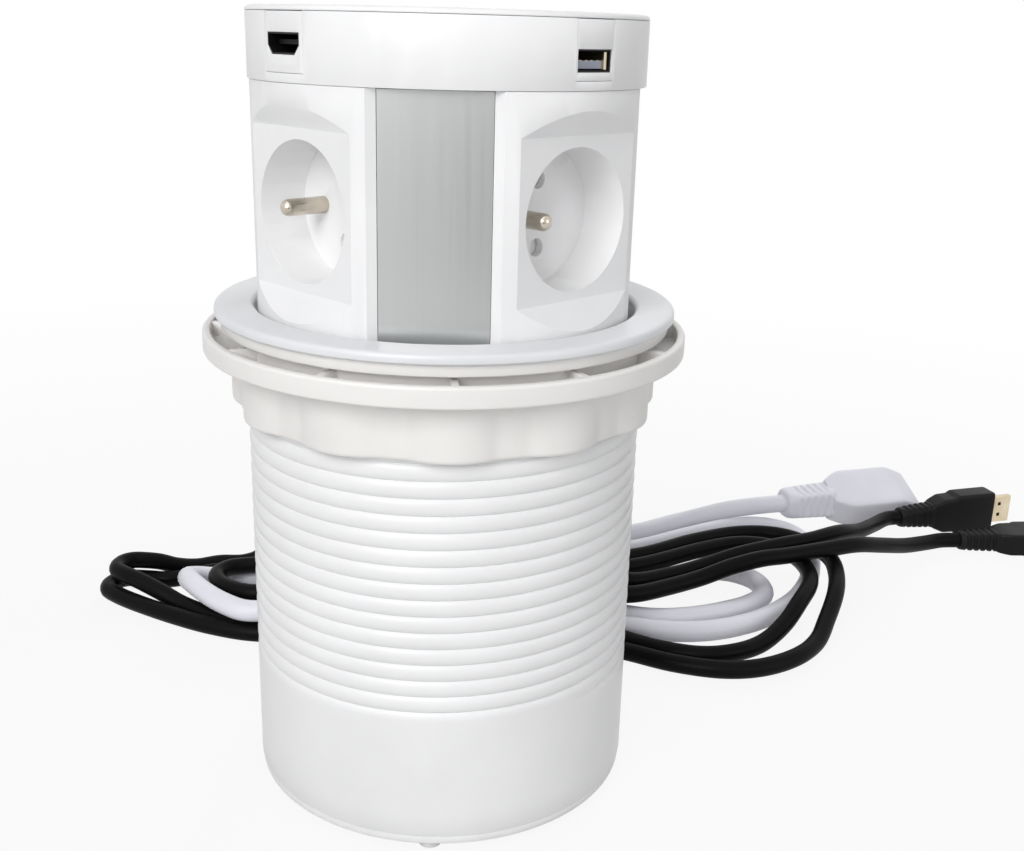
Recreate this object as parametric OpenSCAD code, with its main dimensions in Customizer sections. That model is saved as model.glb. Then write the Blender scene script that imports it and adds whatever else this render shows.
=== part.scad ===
// Round pop-up desk socket. A threaded tube is clamped in a desk hole by a lock nut, and a tower with
// four earthed sockets, two HDMI ports and two USB ports rises out of it on a spring.
// Millimetres, +Z up. The origin is on the tube's axis, on the surface that the feet stand on.
// The front trim strip faces -Y. The tower is drawn raised.

/* [Tube] */
// Radius of the tube over the thread crests
tube_r = 61; // [60:0.5:66]
// Height of the flange's top above the surface
stand_h = 156; // [150:1:176]
// How far the flange reaches past the thread
flange_reach = 9; // [7:0.5:14]
// Thickness of the flange
flange_t = 3; // [2.5:0.1:4]
// Height of one turn of the thread
thread_pitch = 5.1; // [4.5:0.1:5.6]
// Depth of the thread's grooves
thread_depth = 0.9; // [0.5:0.1:1]
// Height of the lowest groove of the thread
thread_low = 46.2; // [44:0.2:50]

/* [Tower] */
// How far the tower rises above the flange
rise = 84; // [82:0.5:88]
// Radius of the tower over its socket panels
tower_r = 57.4; // [56.6:0.1:57.4]
// Height of the port ring and its lid
cap_h = 19.5; // [18.5:0.5:21]
// Width of each trim strip
strip_w = 30; // [24:0.5:31]

/* [Sockets] */
// Diameter of the plug recess
recess_d = 39; // [37:0.5:40]
// Depth of the plug recess
recess_depth = 15; // [14:0.5:16]
// Distance between the two live pin holes
hole_spacing = 19; // [18.5:0.1:19.5]
// Diameter of each pin hole
hole_d = 5.2; // [5:0.1:5.6]
// Diameter of the earth pin
earth_d = 4.8; // [4.6:0.1:5]
// Length of the earth pin in the recess
earth_len = 14.5; // [12:0.5:15]

/* [Lock nut] */
// How far the nut's rim reaches past the thread
nut_reach = 12.7; // [11:0.1:15]
// Height of the nut
nut_h = 25; // [22:0.5:27]
// Number of ribs, and of grip lobes under them
rib_count = 12; // [8:1:14]
// Turn of the nut at rest, in degrees
rib_turn = 5.5; // [0:0.5:30]
// Thickness of the slip washer between nut and desk
washer_t = 3.5; // [2.5:0.1:5]

/* [Cords] */
// Diameter of the mains lead
mains_d = 8.6; // [7:0.1:8.7]
// Diameter of each HDMI lead
hdmi_d = 7.2; // [6:0.1:7.4]

/* [Hidden] */
$fn = 96;
touch = 0.1;
run_gap = 0.3;

// Tube and flange
foot_h = 2;
cap_plate_t = 2.5;
tube_low = foot_h + cap_plate_t;
floor_z = tube_low + 4;
flange_r = tube_r + flange_reach;
flange_low = stand_h - flange_t;
bore_r = tube_r - 2.1;
lip_r = bore_r - 0.8;
mouth_r = lip_r + 1.1;
thread_count = floor((flange_low - 8 - thread_low) / thread_pitch);
groove_half = 1.25;
key_w = 6;
key_r = bore_r - 2;
boss_y = tube_r + 3;
boss_w = 76;
boss_low = 6;
boss_high = 27;
gland_z = 16;
gland_back = boss_y - 12;
gland_step = 24;
screw_circle = bore_r - 5;
screw_angles = [30, 150, 210, 330];

// Tower: everything here is in its raised place
top_z = stand_h + rise;
lid_t = 1.5;
cap_low = top_z - cap_h;
ring_high = top_z - lid_t - touch;
cap_r = tower_r + 0.3;
base_t = 10;
base_plate_t = 4;
latch_room = 15.5;
tower_low = floor_z + latch_room + rise + base_t;
base_low = tower_low - base_t;
base_r = bore_r - 0.1;
lip_low = tower_low + run_gap;
wall = 2.8;
sides = [45, 135, 225, 315];
quarters = [0, 90, 180, 270];
lead_hole_step = 14;
lead_hole_y = 28;
tie_d = 4;

// Socket panel, measured outward from the axis
socket_z = stand_h + 30.3;
flat_d = tower_r - 4.4;
flat_low = socket_z - 21.9;
flat_high = socket_z + 22.5;
slope_high = 1.5;
slope_low = 1.8;
skin = 2.5;
recess_r = recess_d / 2;
floor_d = flat_d - recess_depth;
floor_back = floor_d - skin;
earth_offset = 10;
earth_tail_r = earth_d / 2 - 0.3;
strip_face = tower_r - 4.4;
strip_t = 2;
strip_back = strip_face - strip_t;
ledge_t = 2.4;
tie_inset = 4.6;
tie_r = strip_back - ledge_t - tie_inset;
edge_half = strip_w / 2 + 2.8;
edge_d = sqrt(tower_r * tower_r - edge_half * edge_half);
wall_half_angle = 46.2 - atan(edge_half / edge_d);

// Shutter, contact carrier and contacts behind the recess floor
shutter_w = 8;
shutter_h = hole_spacing + hole_d + 3;
shutter_t = 2;
shutter_travel = 7;
pocket_x = shutter_w / 2 + shutter_travel + 2.5;
carrier_front = floor_back - shutter_t - 0.4;
carrier_back = carrier_front - 12;
carrier_w = 30;
carrier_h = hole_spacing + 18;
clip_r = 3.6;
clip_hole_r = 2.5;
bus_t = 1;
bus_r = carrier_back - 3;

// Port ring and its inserts
insert_low = cap_low + 2.4;
insert_back = cap_r - 10;
hdmi_insert_w = 16.6;
usb_insert_w = 14;
hdmi_z = cap_low + 9.8;
usb_z = cap_low + 7.5;
hdmi_w = 14.1;
hdmi_h = 5.6;
usb_w = 13.2;
usb_h = 5.8;
port_depth = 14;
ring_wall = 3;
ring_floor_t = 2;
ring_hole_r = 20;
board_inset = 3;
tongue_side = 1.2;

// Lock nut and washer
slip = 0.1;
washer_r = flange_r - 1.8;
washer_high = flange_low - slip;
washer_low = washer_high - washer_t;
nut_high = washer_low - slip;
nut_low = nut_high - nut_h;
nut_r = tube_r + nut_reach;
nut_bore_r = tube_r + 0.4;
hub_r = nut_bore_r + 2;
rim_high = nut_high - 0.9;
rim_low = rim_high - 6.2;
rim_t = 2.4;
lobe_r = 20;
lobe_reach = hub_r + 2.7;

// Lift spring and touch latch
spring_r = 14;
spring_wire = 2.6;
spring_turns = 6;
spring_steps = 14;
latch_inset = 16.9;
latch_d = bore_r - latch_inset;
latch_side = 45;
latch_floor = 0.6;
strike_t = 1;
strike_low = base_low + base_t - base_plate_t - strike_t;
plunger_r = 3;
plunger_travel = 4;
plunger_high = strike_low - rise - run_gap;
plunger_low = floor_z + latch_floor + plunger_travel + run_gap;
latch_high = plunger_high - plunger_travel - 4;

// Leads lie in loose loops behind the tube: the mains lead on the surface, the HDMI leads piled on it
gland_face = boss_y + 9.5;
route_start = 73.5;
lead_sides = 8;
mains_route = [
  [-24, 73.6, 16], [-24, 84, 16], [-24, 95, 16], [-23, 106, 14.8], [-15, 118, 10.5], [2, 124, 5.6],
  [28, 120, 4.4], [54, 114, 4.4], [76, 117, 4.4], [92, 126, 4.4], [105.7, 134.4, 4.4], [119.4, 136.5, 4.4],
  [130.4, 128.3, 4.4], [132.5, 114.6, 4.4], [124.3, 103.6, 4.4], [110, 95, 4.4], [95, 89.5, 4.4],
  [80, 88, 4.4], [64, 92, 4.4], [46, 97.5, 4.4], [28, 99.5, 4.4], [4, 99.6, 4.4], [-16, 99.3, 4.4],
  [-33, 99, 4.4], [-47, 101, 4.4], [-57.5, 107.5, 4.4], [-63, 117.5, 4.4], [-63.5, 129, 4.4],
  [-59, 139, 4.4], [-50, 146.2, 4.4], [-38, 149, 4.4], [-22, 149, 4.4], [0, 148, 4.4], [40, 149, 4.4],
  [76, 157, 4.4], [106, 176, 4.4], [130, 190, 4.4], [147, 192, 4.4], [159, 183, 4.4], [163, 166, 4.4],
  [160, 146, 4.4], [153, 124, 4.4], [141, 104, 4.4], [124, 88, 4.4], [104, 78.5, 4.4], [84, 77, 4.4],
  [64, 82, 4.4], [46, 88, 4.4], [28, 90, 4.4], [4, 90.1, 4.4], [-14, 89.9, 4.4], [-28, 89.6, 4.5],
  [-41, 88, 6.6], [-53, 83, 10.8], [-64, 75.5, 12.7], [-74, 68.8, 12.7], [-83.5, 68.3, 12.6],
  [-92.5, 73.8, 12.5], [-101, 81.5, 12.5], [-109, 90.8, 12.5], [-114.3, 100, 11.2], [-113.2, 108.8, 7.8],
  [-106, 114, 5], [-96, 114.8, 4.4], [-85.5, 117, 4.4], [-77.5, 125, 4.4], [-73.5, 137, 4.4],
  [-67.5, 149, 4.4], [-57, 158, 4.4], [-42, 162, 4.4], [-22, 162, 4.4], [0, 161, 4.4], [40, 164, 4.4],
  [78, 177, 4.4], [100, 190.5, 4.8], [114, 195.5, 6.8], [128, 196.8, 10.4], [141, 197, 12.7], [149, 198.6, 13.2],
  [157, 201, 13.2]];
hdmi_1_route = [
  [24, 73.6, 16], [24, 82, 16], [24, 90.5, 17.4], [18, 100, 22], [4, 106, 24.8], [-22, 104, 24.4],
  [-46, 97, 19.5], [-60, 91.5, 16.8], [-72, 85.5, 14.2], [-82, 83.3, 13], [-91.5, 86.3, 12.8],
  [-98.6, 92.3, 12.8], [-101.8, 100.3, 12.8], [-98, 107.6, 12.8], [-89, 110.8, 12.8], [-75, 114.2, 13],
  [-59, 123.5, 13.2], [-40, 130, 13.2], [0, 129.5, 13.2], [38, 127, 13.2], [74, 129.5, 13.2],
  [106, 150, 13.2], [128, 160.5, 13.2], [146, 160.5, 13.2], [159, 150, 13.2], [165, 135, 13.2],
  [164, 118, 13.2], [160, 102, 11.5], [153, 86, 7], [146, 72, 4], [135, 59, 3.8], [120, 50, 3.8],
  [104, 47.5, 3.8], [86, 51.5, 3.8], [70, 59, 3.8], [53, 66, 3.8], [34, 70.7, 3.8], [-30, 71, 3.8],
  [-56, 68.3, 3.8], [-78, 66.3, 3.8], [-97, 71, 3.8], [-115, 79.2, 3.8], [-131, 88.2, 3.8],
  [-139.8, 93.8, 3.8], [-145.6, 98.2, 3.8], [-148.7, 101.4, 3.8], [-149.8, 105.5, 3.8],
  [-148.6, 109.6, 3.8], [-145.6, 112.6, 3.8], [-141.2, 113.7, 3.8], [-135, 113.4, 3.8], [-127, 113, 3.8],
  [-118, 116.9, 3.8], [-108, 122.9, 3.8], [-97.5, 124.6, 3.8], [-88.5, 129, 3.8], [-83.2, 138, 4.6],
  [-78.5, 147.8, 9], [-69, 151.8, 13], [-56, 147.5, 13.4], [-40, 140.5, 13.4], [-4, 138, 15],
  [22, 131, 20.4], [43, 116, 22.8], [57, 106, 19], [72, 102, 14.6], [90, 111, 13.4], [106, 119.5, 14.4],
  [123, 124.5, 18.4], [141, 129.5, 20.9], [156, 136.5, 21.1], [171, 147.5, 20.4], [185, 163.5, 15],
  [197, 181, 11], [206, 191.2, 10.3], [213, 194, 10.3]];
hdmi_2_route = [
  [0, 73.6, 16], [0, 84, 16], [2, 96, 16.3], [16, 107.5, 16.2], [42, 113, 14.6], [74, 119, 13.2],
  [108, 140, 13.2], [126, 148, 13.2], [140, 146, 13.2], [149, 136, 13.2], [152, 122, 13.2],
  [150, 107, 13.2], [143, 93, 11.5], [134, 80, 7], [123, 69, 3.9], [110, 61, 3.8], [96, 58.8, 3.8],
  [80, 63.5, 3.8], [64, 72, 3.8], [46, 78, 3.8], [28, 79.8, 3.8], [4, 80.2, 3.8], [-18, 80, 3.8],
  [-40, 79.4, 3.8], [-61, 76.5, 3.8], [-80, 74.6, 3.8], [-98, 79.8, 3.8], [-113, 87, 4.8],
  [-124, 91.7, 8.4], [-133, 95.6, 10.9], [-138.2, 98, 11.8], [-142.1, 100.6, 12], [-145, 103.6, 12],
  [-146, 107.6, 12], [-144.9, 111.6, 12], [-141.8, 114.6, 11.8], [-137.5, 116.2, 11.2],
  [-131.5, 118.6, 9.6], [-125, 121.9, 6.4], [-117.5, 126.6, 4.1], [-108.5, 131.7, 3.8], [-98.3, 133.2, 3.8],
  [-91.8, 139, 4.6], [-88, 147, 9.8], [-81, 149.2, 16.8], [-71, 141.5, 20.5], [-58, 129, 21.6],
  [-36, 121, 21.8], [-10, 116, 23], [12, 112.5, 24], [27, 107, 23.4], [38, 100, 20.4], [50, 93.5, 16.6],
  [61, 89.5, 14.4], [74, 91.5, 13.5], [88, 99, 13.4], [103, 107, 14.4], [117, 111, 18.4], [130, 114.5, 20.8],
  [143, 119, 20.9], [160, 126.4, 20.9], [176, 134.5, 20.2], [192, 148, 14.6], [207, 162, 8.8], [221, 173, 5.9],
  [229.5, 177, 5.7], [238, 178, 5.7]];
// Each plug's place, its turn about Z and its roll about its own length
mains_plug_place = [157, 201, 13.2, 17.5, 27];
hdmi_plug_places = [[213, 194, 10.3, 17.5, 90], [238, 178, 5.7, 6.4, 0]];

// Lengths of the plugs' reliefs, grips and contacts
mains_relief = 24;
mains_grip = 48;
mains_shroud = 11;
hdmi_relief = 18;
hdmi_grip = 33;
hdmi_nose = 12;
collar = 2;
mains_back = mains_relief + collar / 2 + mains_grip - mains_shroud;
hdmi_front = hdmi_relief + collar / 2 + hdmi_grip;

// A ring about the axis
module ring(outer, inner, low, high) {
  translate([0, 0, low])
    difference() {
      cylinder(r = outer, h = high - low);
      translate([0, 0, -1]) cylinder(r = inner, h = high - low + 2);
    }
}

// A rod along the outward direction of a side that faces -Y
module outward_rod(r, from_d, to_d, x, z) {
  translate([x, -from_d, z]) rotate([90, 0, 0]) cylinder(r = r, h = to_d - from_d);
}

// A block given by its width and its reach outward and upward, on a side that faces -Y
module side_block(w, from_d, to_d, low, high, x = 0) {
  translate([x - w / 2, -to_d, low]) cube([w, to_d - from_d, high - low]);
}

function unit(v) = v / norm(v);

// Points of a smooth curve through a route, with some steps from each point to the next
function smooth(route, steps) = let (last = len(route) - 1) concat(
  [for (i = [0 : last - 1], k = [0 : steps - 1])
    curve_point(i > 0 ? route[i - 1] : 2 * route[0] - route[1], route[i], route[i + 1],
      i < last - 1 ? route[i + 2] : 2 * route[last] - route[last - 1], k / steps)],
  [route[last]]);

function curve_point(a, b, c, d, t) =
  0.5 * (2 * b + (c - a) * t + (2 * a - 5 * b + 4 * c - d) * t * t + (3 * b - a - 3 * c + d) * t * t * t);

// Leads and plugs move with the glands that they come out of
module at_glands() {
  translate([0, gland_face - route_start, 0]) children();
}

// Least distance between far parts of a path, less the tube's diameter
function self_gap(path, d) = min([for (i = [0 : len(path) - 1], j = [i + 1 : 1 : len(path) - 1])
  if (abs(j - i) > 24) norm(path[i] - path[j])]) - d;

// Tube of a few sides swept along a path. The reference is never along the path
module tube_along(path, r, sides, reference = [0, 0, 1]) {
  last = len(path) - 1;
  points = [for (i = [0 : last])
    let (ahead = unit(path[min(i + 1, last)] - path[max(i - 1, 0)]),
         across = unit(cross(ahead, reference)),
         up = cross(across, ahead))
    for (j = [0 : sides - 1]) path[i] + r * (cos(j * 360 / sides) * across + sin(j * 360 / sides) * up)];
  walls = [for (i = [0 : last - 1], j = [0 : sides - 1])
    let (a = i * sides + j, b = i * sides + (j + 1) % sides)
    each [[a, a + sides, b + sides], [a, b + sides, b]]];
  top = last * sides;
  ends = [for (j = [1 : sides - 2]) each [[0, j, j + 1], [top, top + j + 1, top + j]]];
  polyhedron(points = points, faces = concat(walls, ends));
}

// Threaded tube with its inner lip, guide keys, screw bosses and the flat pad for the glands
module outer_tube() {
  grooves = [for (i = [0 : thread_count]) let (z = thread_low + i * thread_pitch)
    each [[tube_r, z - groove_half], [tube_r - thread_depth, z], [tube_r, z + groove_half]]];
  color("whitesmoke")
    difference() {
      union() {
        rotate_extrude()
          polygon(concat(
            [[bore_r, tube_low], [tube_r, tube_low]],
            grooves,
            [[tube_r, flange_low], [lip_r, flange_low], [lip_r, lip_low], [bore_r, lip_low]]));
        for (side = [0, 180])
          rotate([0, 0, side]) translate([key_r, -key_w / 2, floor_z + 4])
            cube([3, key_w, lip_low - floor_z - 3]);
        for (a = screw_angles)
          rotate([0, 0, a]) translate([screw_circle, 0, tube_low + 4]) cylinder(r = 5.6, h = 12);
        difference() {
          translate([-boss_w / 2, 30, boss_low]) cube([boss_w, boss_y - 30, boss_high - boss_low]);
          translate([0, 0, boss_low - 1]) cylinder(r = bore_r, h = boss_high - boss_low + 2);
        }
      }
      for (a = screw_angles)
        rotate([0, 0, a]) translate([screw_circle, 0, tube_low]) cylinder(r = 1.6, h = 14);
      for (i = [-1 : 1])
        translate([i * gland_step, 40, gland_z]) rotate([-90, 0, 0]) cylinder(r = gland_barrel_r(i), h = 40);
    }
}

// Flange that rests on the desk, with a softened outer edge and mouth
module flange_ring() {
  color("whitesmoke")
    rotate_extrude()
      polygon([[lip_r, flange_low], [flange_r - 0.8, flange_low], [flange_r, flange_low + 0.8],
        [flange_r, stand_h - 1.4], [flange_r - 1.4, stand_h], [mouth_r, stand_h], [lip_r, stand_h - 1.1]]);
}

// Closing plate of the tube, with a spigot in its bore and a seat for the lift spring
module bottom_cap() {
  color("whitesmoke")
    difference() {
      union() {
        translate([0, 0, foot_h]) cylinder(r = tube_r - 0.4, h = cap_plate_t);
        translate([0, 0, tube_low]) cylinder(r = bore_r - 0.15, h = floor_z - tube_low);
        translate([0, 0, floor_z]) cylinder(r = spring_r - spring_wire / 2 - 0.4, h = 8);
      }
      for (a = screw_angles)
        rotate([0, 0, a]) translate([screw_circle, 0, 0]) {
          cylinder(r = 1.9, h = 20);
          cylinder(r = 3.4, h = foot_h + 1.5);
        }
      translate([0, 0, -1]) cylinder(r = 7, h = 30);
    }
}

// Screws that hold the closing plate to the tube's bosses
module bottom_screws() {
  color("silver")
    for (a = screw_angles)
      rotate([0, 0, a]) translate([screw_circle, 0, foot_h]) {
        difference() {
          cylinder(r = 3.1, h = 1.5);
          translate([-2, -0.4, -1]) cube([4, 0.8, 1.7]);
        }
        cylinder(r = 1.55, h = 14);
      }
}

// Rubber feet under the closing plate
module feet() {
  color("gainsboro")
    for (a = quarters)
      rotate([0, 0, a]) translate([0, -tube_r + 4.4, 0]) {
        cylinder(r = 3.4, h = foot_h);
        cylinder(r1 = 2.8, r2 = 3.4, h = 0.6);
      }
}

function gland_barrel_r(i) = (i == -1 ? mains_d : hdmi_d) / 2 + 1.5;

// Strain relief: a barrel through the tube's pad, a collar on it and a tapering boot round the lead
module gland(i) {
  lead_r = (i == -1 ? mains_d : hdmi_d) / 2;
  barrel_r = gland_barrel_r(i);
  translate([i * gland_step, 0, gland_z]) rotate([-90, 0, 0])
    rotate_extrude()
      polygon([[0, gland_back], [barrel_r - 0.05, gland_back], [barrel_r - 0.05, boss_y],
        [barrel_r + 2, boss_y], [barrel_r + 2, boss_y + 2], [barrel_r + 0.6, boss_y + 2.6],
        [lead_r + 0.8, gland_face], [0, gland_face]]);
}

module mains_gland() { color("white") gland(-1); }

module hdmi_glands() {
  color("dimgray") {
    gland(0);
    gland(1);
  }
}

// Push-to-release latch: its housing on the closing plate
module latch_body() {
  color("dimgray")
    rotate([0, 0, latch_side])
      difference() {
        side_block(14, latch_d - 5, latch_d + 5, floor_z, latch_high);
        translate([0, -latch_d, floor_z + latch_floor]) cylinder(r = plunger_r + run_gap, h = latch_high);
      }
}

// Sprung plunger of the latch, with a flat magnet tip
module latch_plunger() {
  color("silver")
    rotate([0, 0, latch_side]) translate([0, -latch_d, plunger_low]) {
      cylinder(r = plunger_r, h = plunger_high - plunger_low - 2);
      cylinder(r = plunger_r - 0.6, h = plunger_high - plunger_low);
    }
}

// Washer that slides along the tube with the nut but doesn't turn
module slip_washer() {
  color("seashell") ring(washer_r, nut_bore_r, washer_low, washer_high);
}

// Lock nut: a rim on ribs over a hub, with grip lobes below
module lock_nut() {
  color("whitesmoke")
    rotate([0, 0, rib_turn])
      difference() {
        union() {
          ring(hub_r, nut_bore_r, nut_low, nut_high);
          ring(nut_r, nut_r - rim_t, rim_low, rim_high);
          ring(nut_r - 1, nut_bore_r, rim_low, rim_low + 1.6);
          for (i = [0 : rib_count - 1])
            rotate([0, 0, i * 360 / rib_count]) {
              side_block(2.2, hub_r - 1, nut_r - 1.5, rim_low + 0.2, rim_high);
              intersection() {
                translate([0, lobe_r - lobe_reach, nut_low]) cylinder(r = lobe_r, h = rim_low - nut_low + 1);
                rotate_extrude()
                  polygon([[nut_bore_r, nut_low], [lobe_reach - 1.8, nut_low],
                    [lobe_reach - 0.5, nut_low + 0.7], [lobe_reach + 0.1, nut_low + 2],
                    [lobe_reach + 0.1, rim_low + 1], [nut_bore_r, rim_low + 1]]);
              }
            }
        }
        rotate_extrude()
          polygon(concat([[nut_bore_r - 2, nut_low + 1]],
            [for (i = [0 : 2], p = [[nut_bore_r - 0.2, 4], [nut_bore_r + 0.6, 5.2], [nut_bore_r - 0.2, 6.4]])
              [p[0], nut_low + i * thread_pitch + p[1]]],
            [[nut_bore_r - 2, nut_high - 1]]));
      }
}

// Disc under the tower that runs in the tube's bore
module tower_base() {
  plate_low = tower_low - base_plate_t;
  color("whitesmoke")
    difference() {
      union() {
        ring(base_r, base_r - 3.5, base_low, tower_low);
        translate([0, 0, plate_low]) cylinder(r = base_r - 1, h = base_plate_t);
      }
      for (side = [0, 180])
        rotate([0, 0, side])
          translate([key_r - run_gap, -key_w / 2 - run_gap, base_low - 1])
            cube([6, key_w + 2 * run_gap, base_t + 2]);
      for (a = quarters)
        rotate([0, 0, a]) translate([0, -tie_r, plate_low - 1])
          cylinder(d = tie_d + 0.4, h = base_plate_t + 2);
      translate([0, 0, plate_low - 1]) cylinder(r = 8, h = base_plate_t + 2);
      for (i = [-1 : 1])
        translate([i * lead_hole_step, lead_hole_y, plate_low - 1]) cylinder(r = 5.4, h = base_plate_t + 2);
    }
}

// Steel plate that the latch's magnet holds
module strike_plate() {
  color("silver")
    rotate([0, 0, latch_side]) side_block(18, latch_d - 4.5, latch_d + 4.5, strike_low, strike_low + strike_t);
}

// Compression spring that lifts the tower
module lift_spring() {
  low = floor_z + spring_wire / 2 + 0.2;
  high = tower_low - base_plate_t - spring_wire / 2 - 0.2;
  count = spring_turns * spring_steps;
  path = [for (i = [0 : count]) let (a = i * 360 / spring_steps)
    [spring_r * cos(a), spring_r * sin(a), low + (high - low) * i / count]];
  color("silver") tube_along(path, spring_wire / 2, 6);
}

// Rods that clamp the port ring, the panels and the base together
module tie_rods() {
  head_low = tower_low - base_plate_t - 3;
  color("silver")
    for (a = quarters)
      rotate([0, 0, a]) translate([0, -tie_r, head_low]) {
        cylinder(r = 3.5, h = 3);
        cylinder(d = tie_d, h = cap_low + 6 - head_low);
      }
}

// Thick edge of a panel beside a trim strip that faces -Y, with the ledge that carries the strip
module panel_edge(side) {
  translate([0, 0, tower_low - 3]) linear_extrude(height = cap_low - tower_low + 6)
    polygon([for (p = [[touch, strip_back - ledge_t - touch], [edge_half + 2, strip_back - ledge_t - touch],
      [edge_half + 2, edge_d - 1.7], [edge_half - 1, edge_d - touch], [touch, edge_d - touch]])
        [side * p[0], -p[1]]]);
}

// Channel for a trim strip that faces -Y, with one sloping side
module strip_channel(side) {
  half = strip_w / 2 + touch;
  slope = (edge_d - strip_face) / (edge_half - half);
  run = edge_half - half + 5;
  translate([0, 0, tower_low - 1]) linear_extrude(height = cap_low - tower_low + 2)
    polygon([for (p = [[-1, strip_back - touch], [half, strip_back - touch], [half, strip_face],
      [half + run, strip_face + run * slope], [half + run, tower_r + 5], [-1, tower_r + 5]])
        [side * p[0], -p[1]]]);
}

// Outline of a socket's flat and its two slopes, outward against height
module flat_outline(inset) {
  d = flat_d - inset;
  polygon([[d, flat_low - inset / 2], [d, flat_high + inset / 2],
    [d + 10, flat_high + inset / 2 + 10 * slope_high], [d + 10, flat_low - inset / 2 - 10 * slope_low]]);
}

// A solid of constant outline across a side that faces -Y
module across(w) {
  translate([-w / 2, 0, 0]) rotate([90, 0, 90]) linear_extrude(height = w) mirror([1, 0, 0]) children();
}

// Quarter of the tower's wall with its socket, facing -Y. Its pieces overrun and are trimmed together
module socket_panel() {
  reach = 2 * tower_r;
  difference() {
    intersection() {
      translate([0, 0, tower_low]) cylinder(r = tower_r, h = cap_low - touch - tower_low);
      union() {
        intersection() {
          ring(tower_r + 1, tower_r - wall, tower_low - 1, cap_low + 1);
          translate([0, 0, tower_low - 2]) linear_extrude(height = cap_low - tower_low + 4)
            polygon([[0, 0], [-reach * tan(wall_half_angle), -reach], [reach * tan(wall_half_angle), -reach]]);
        }
        for (side = [-1, 1])
          rotate([0, 0, side * 45]) panel_edge(-side);
        across(48) flat_outline(skin);
        outward_rod(recess_r + 2, floor_back, flat_d - 1, 0, socket_z);
      }
    }
    for (side = [-1, 1])
      rotate([0, 0, side * 45]) strip_channel(-side);
    across(2 * tower_r) flat_outline(0);
    outward_rod(recess_r, floor_d, flat_d + 1, 0, socket_z);
    for (side = [-1, 1])
      outward_rod(hole_d / 2, floor_back - 1, floor_d + 1, 0, socket_z + side * hole_spacing / 2);
    outward_rod(earth_tail_r + 0.05, floor_back - 1, floor_d + 1, -earth_offset, socket_z);
  }
}

module socket_panel_front_left() { color("whitesmoke") rotate([0, 0, 315]) socket_panel(); }
module socket_panel_front_right() { color("whitesmoke") rotate([0, 0, 45]) socket_panel(); }
module socket_panel_rear_right() { color("whitesmoke") rotate([0, 0, 135]) socket_panel(); }
module socket_panel_rear_left() { color("whitesmoke") rotate([0, 0, 225]) socket_panel(); }

// Anodised aluminium strip in the channel between two panels, facing -Y
module trim_strip() {
  side_block(strip_w, strip_back, strip_face, tower_low + touch, cap_low - 2 * touch);
}

module trim_strip_front() { color("silver") trim_strip(); }
module trim_strip_right() { color("silver") rotate([0, 0, 90]) trim_strip(); }
module trim_strip_rear() { color("silver") rotate([0, 0, 180]) trim_strip(); }
module trim_strip_left() { color("silver") rotate([0, 0, 270]) trim_strip(); }

// Sliding shutter that closes both pin holes from behind, facing -Y
module shutter() {
  side_block(shutter_w, floor_back - 0.2 - shutter_t, floor_back - 0.2,
    socket_z - shutter_h / 2, socket_z + shutter_h / 2);
}

module shutter_front_left() { color("white") rotate([0, 0, 315]) shutter(); }
module shutter_front_right() { color("white") rotate([0, 0, 45]) shutter(); }
module shutter_rear_right() { color("white") rotate([0, 0, 135]) shutter(); }
module shutter_rear_left() { color("white") rotate([0, 0, 225]) shutter(); }

// Leaf springs that push the shutters back over the holes
module shutter_springs() {
  leaf = 0.4;
  low_x = shutter_w / 2 + 0.1;
  high_x = pocket_x - 0.1;
  color("silver")
    for (a = sides)
      rotate([0, 0, a]) translate([0, -floor_back + 0.5, socket_z]) rotate([90, 0, 0]) mirror([0, 0, 1])
        linear_extrude(height = 1.4)
          polygon([[high_x, -9], [high_x, 9], [high_x - leaf, 9], [low_x + leaf, 0.2], [low_x, 0],
            [low_x + leaf, -0.2], [high_x - leaf, -9]]);
}

// Earth pins: a domed tip, a shoulder on the recess floor and a tail through the carrier
module earth_pins() {
  r = earth_d / 2;
  tail = carrier_back - 1;
  color("lightyellow")
    for (a = sides)
      rotate([0, 0, a]) translate([-earth_offset, 0, socket_z]) rotate([90, 0, 0])
        rotate_extrude()
          polygon(concat([[0, tail], [earth_tail_r, tail], [earth_tail_r, floor_d], [r, floor_d],
              [r, floor_d + earth_len - r]],
            [for (t = [15 : 15 : 75]) [r * cos(t), floor_d + earth_len - r + r * sin(t)]],
            [[0, floor_d + earth_len]]));
}

// Insulating block behind a recess: it holds the contacts and leaves the shutter room to slide
module contact_carrier() {
  difference() {
    side_block(carrier_w, carrier_back, floor_back - touch / 2,
      socket_z - carrier_h / 2, socket_z + carrier_h / 2);
    side_block(pocket_x + shutter_w / 2 + run_gap, carrier_front, floor_back + 1,
      socket_z - shutter_h / 2 - run_gap, socket_z + shutter_h / 2 + run_gap,
      (pocket_x - shutter_w / 2 - run_gap) / 2);
    for (side = [-1, 1])
      outward_rod(clip_r + 0.05, carrier_back - 1, floor_back, 0, socket_z + side * hole_spacing / 2);
    outward_rod(earth_tail_r + 0.05, carrier_back - 1, floor_back + 1, -earth_offset, socket_z);
  }
}

module contact_carrier_front_left() { color("ivory") rotate([0, 0, 315]) contact_carrier(); }
module contact_carrier_front_right() { color("ivory") rotate([0, 0, 45]) contact_carrier(); }
module contact_carrier_rear_right() { color("ivory") rotate([0, 0, 135]) contact_carrier(); }
module contact_carrier_rear_left() { color("ivory") rotate([0, 0, 225]) contact_carrier(); }

// Split brass sleeves that grip the plug's pins
module clips(z) {
  for (a = sides)
    rotate([0, 0, a])
      difference() {
        outward_rod(clip_r, carrier_back - 1, carrier_front - 0.3, 0, z);
        outward_rod(clip_hole_r, carrier_back + 1, carrier_front, 0, z);
        side_block(0.8, carrier_back + 2, carrier_front, z, z + 2 * clip_r);
      }
}

module live_clips() { color("goldenrod") clips(socket_z + hole_spacing / 2); }
module neutral_clips() { color("goldenrod") clips(socket_z - hole_spacing / 2); }

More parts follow.
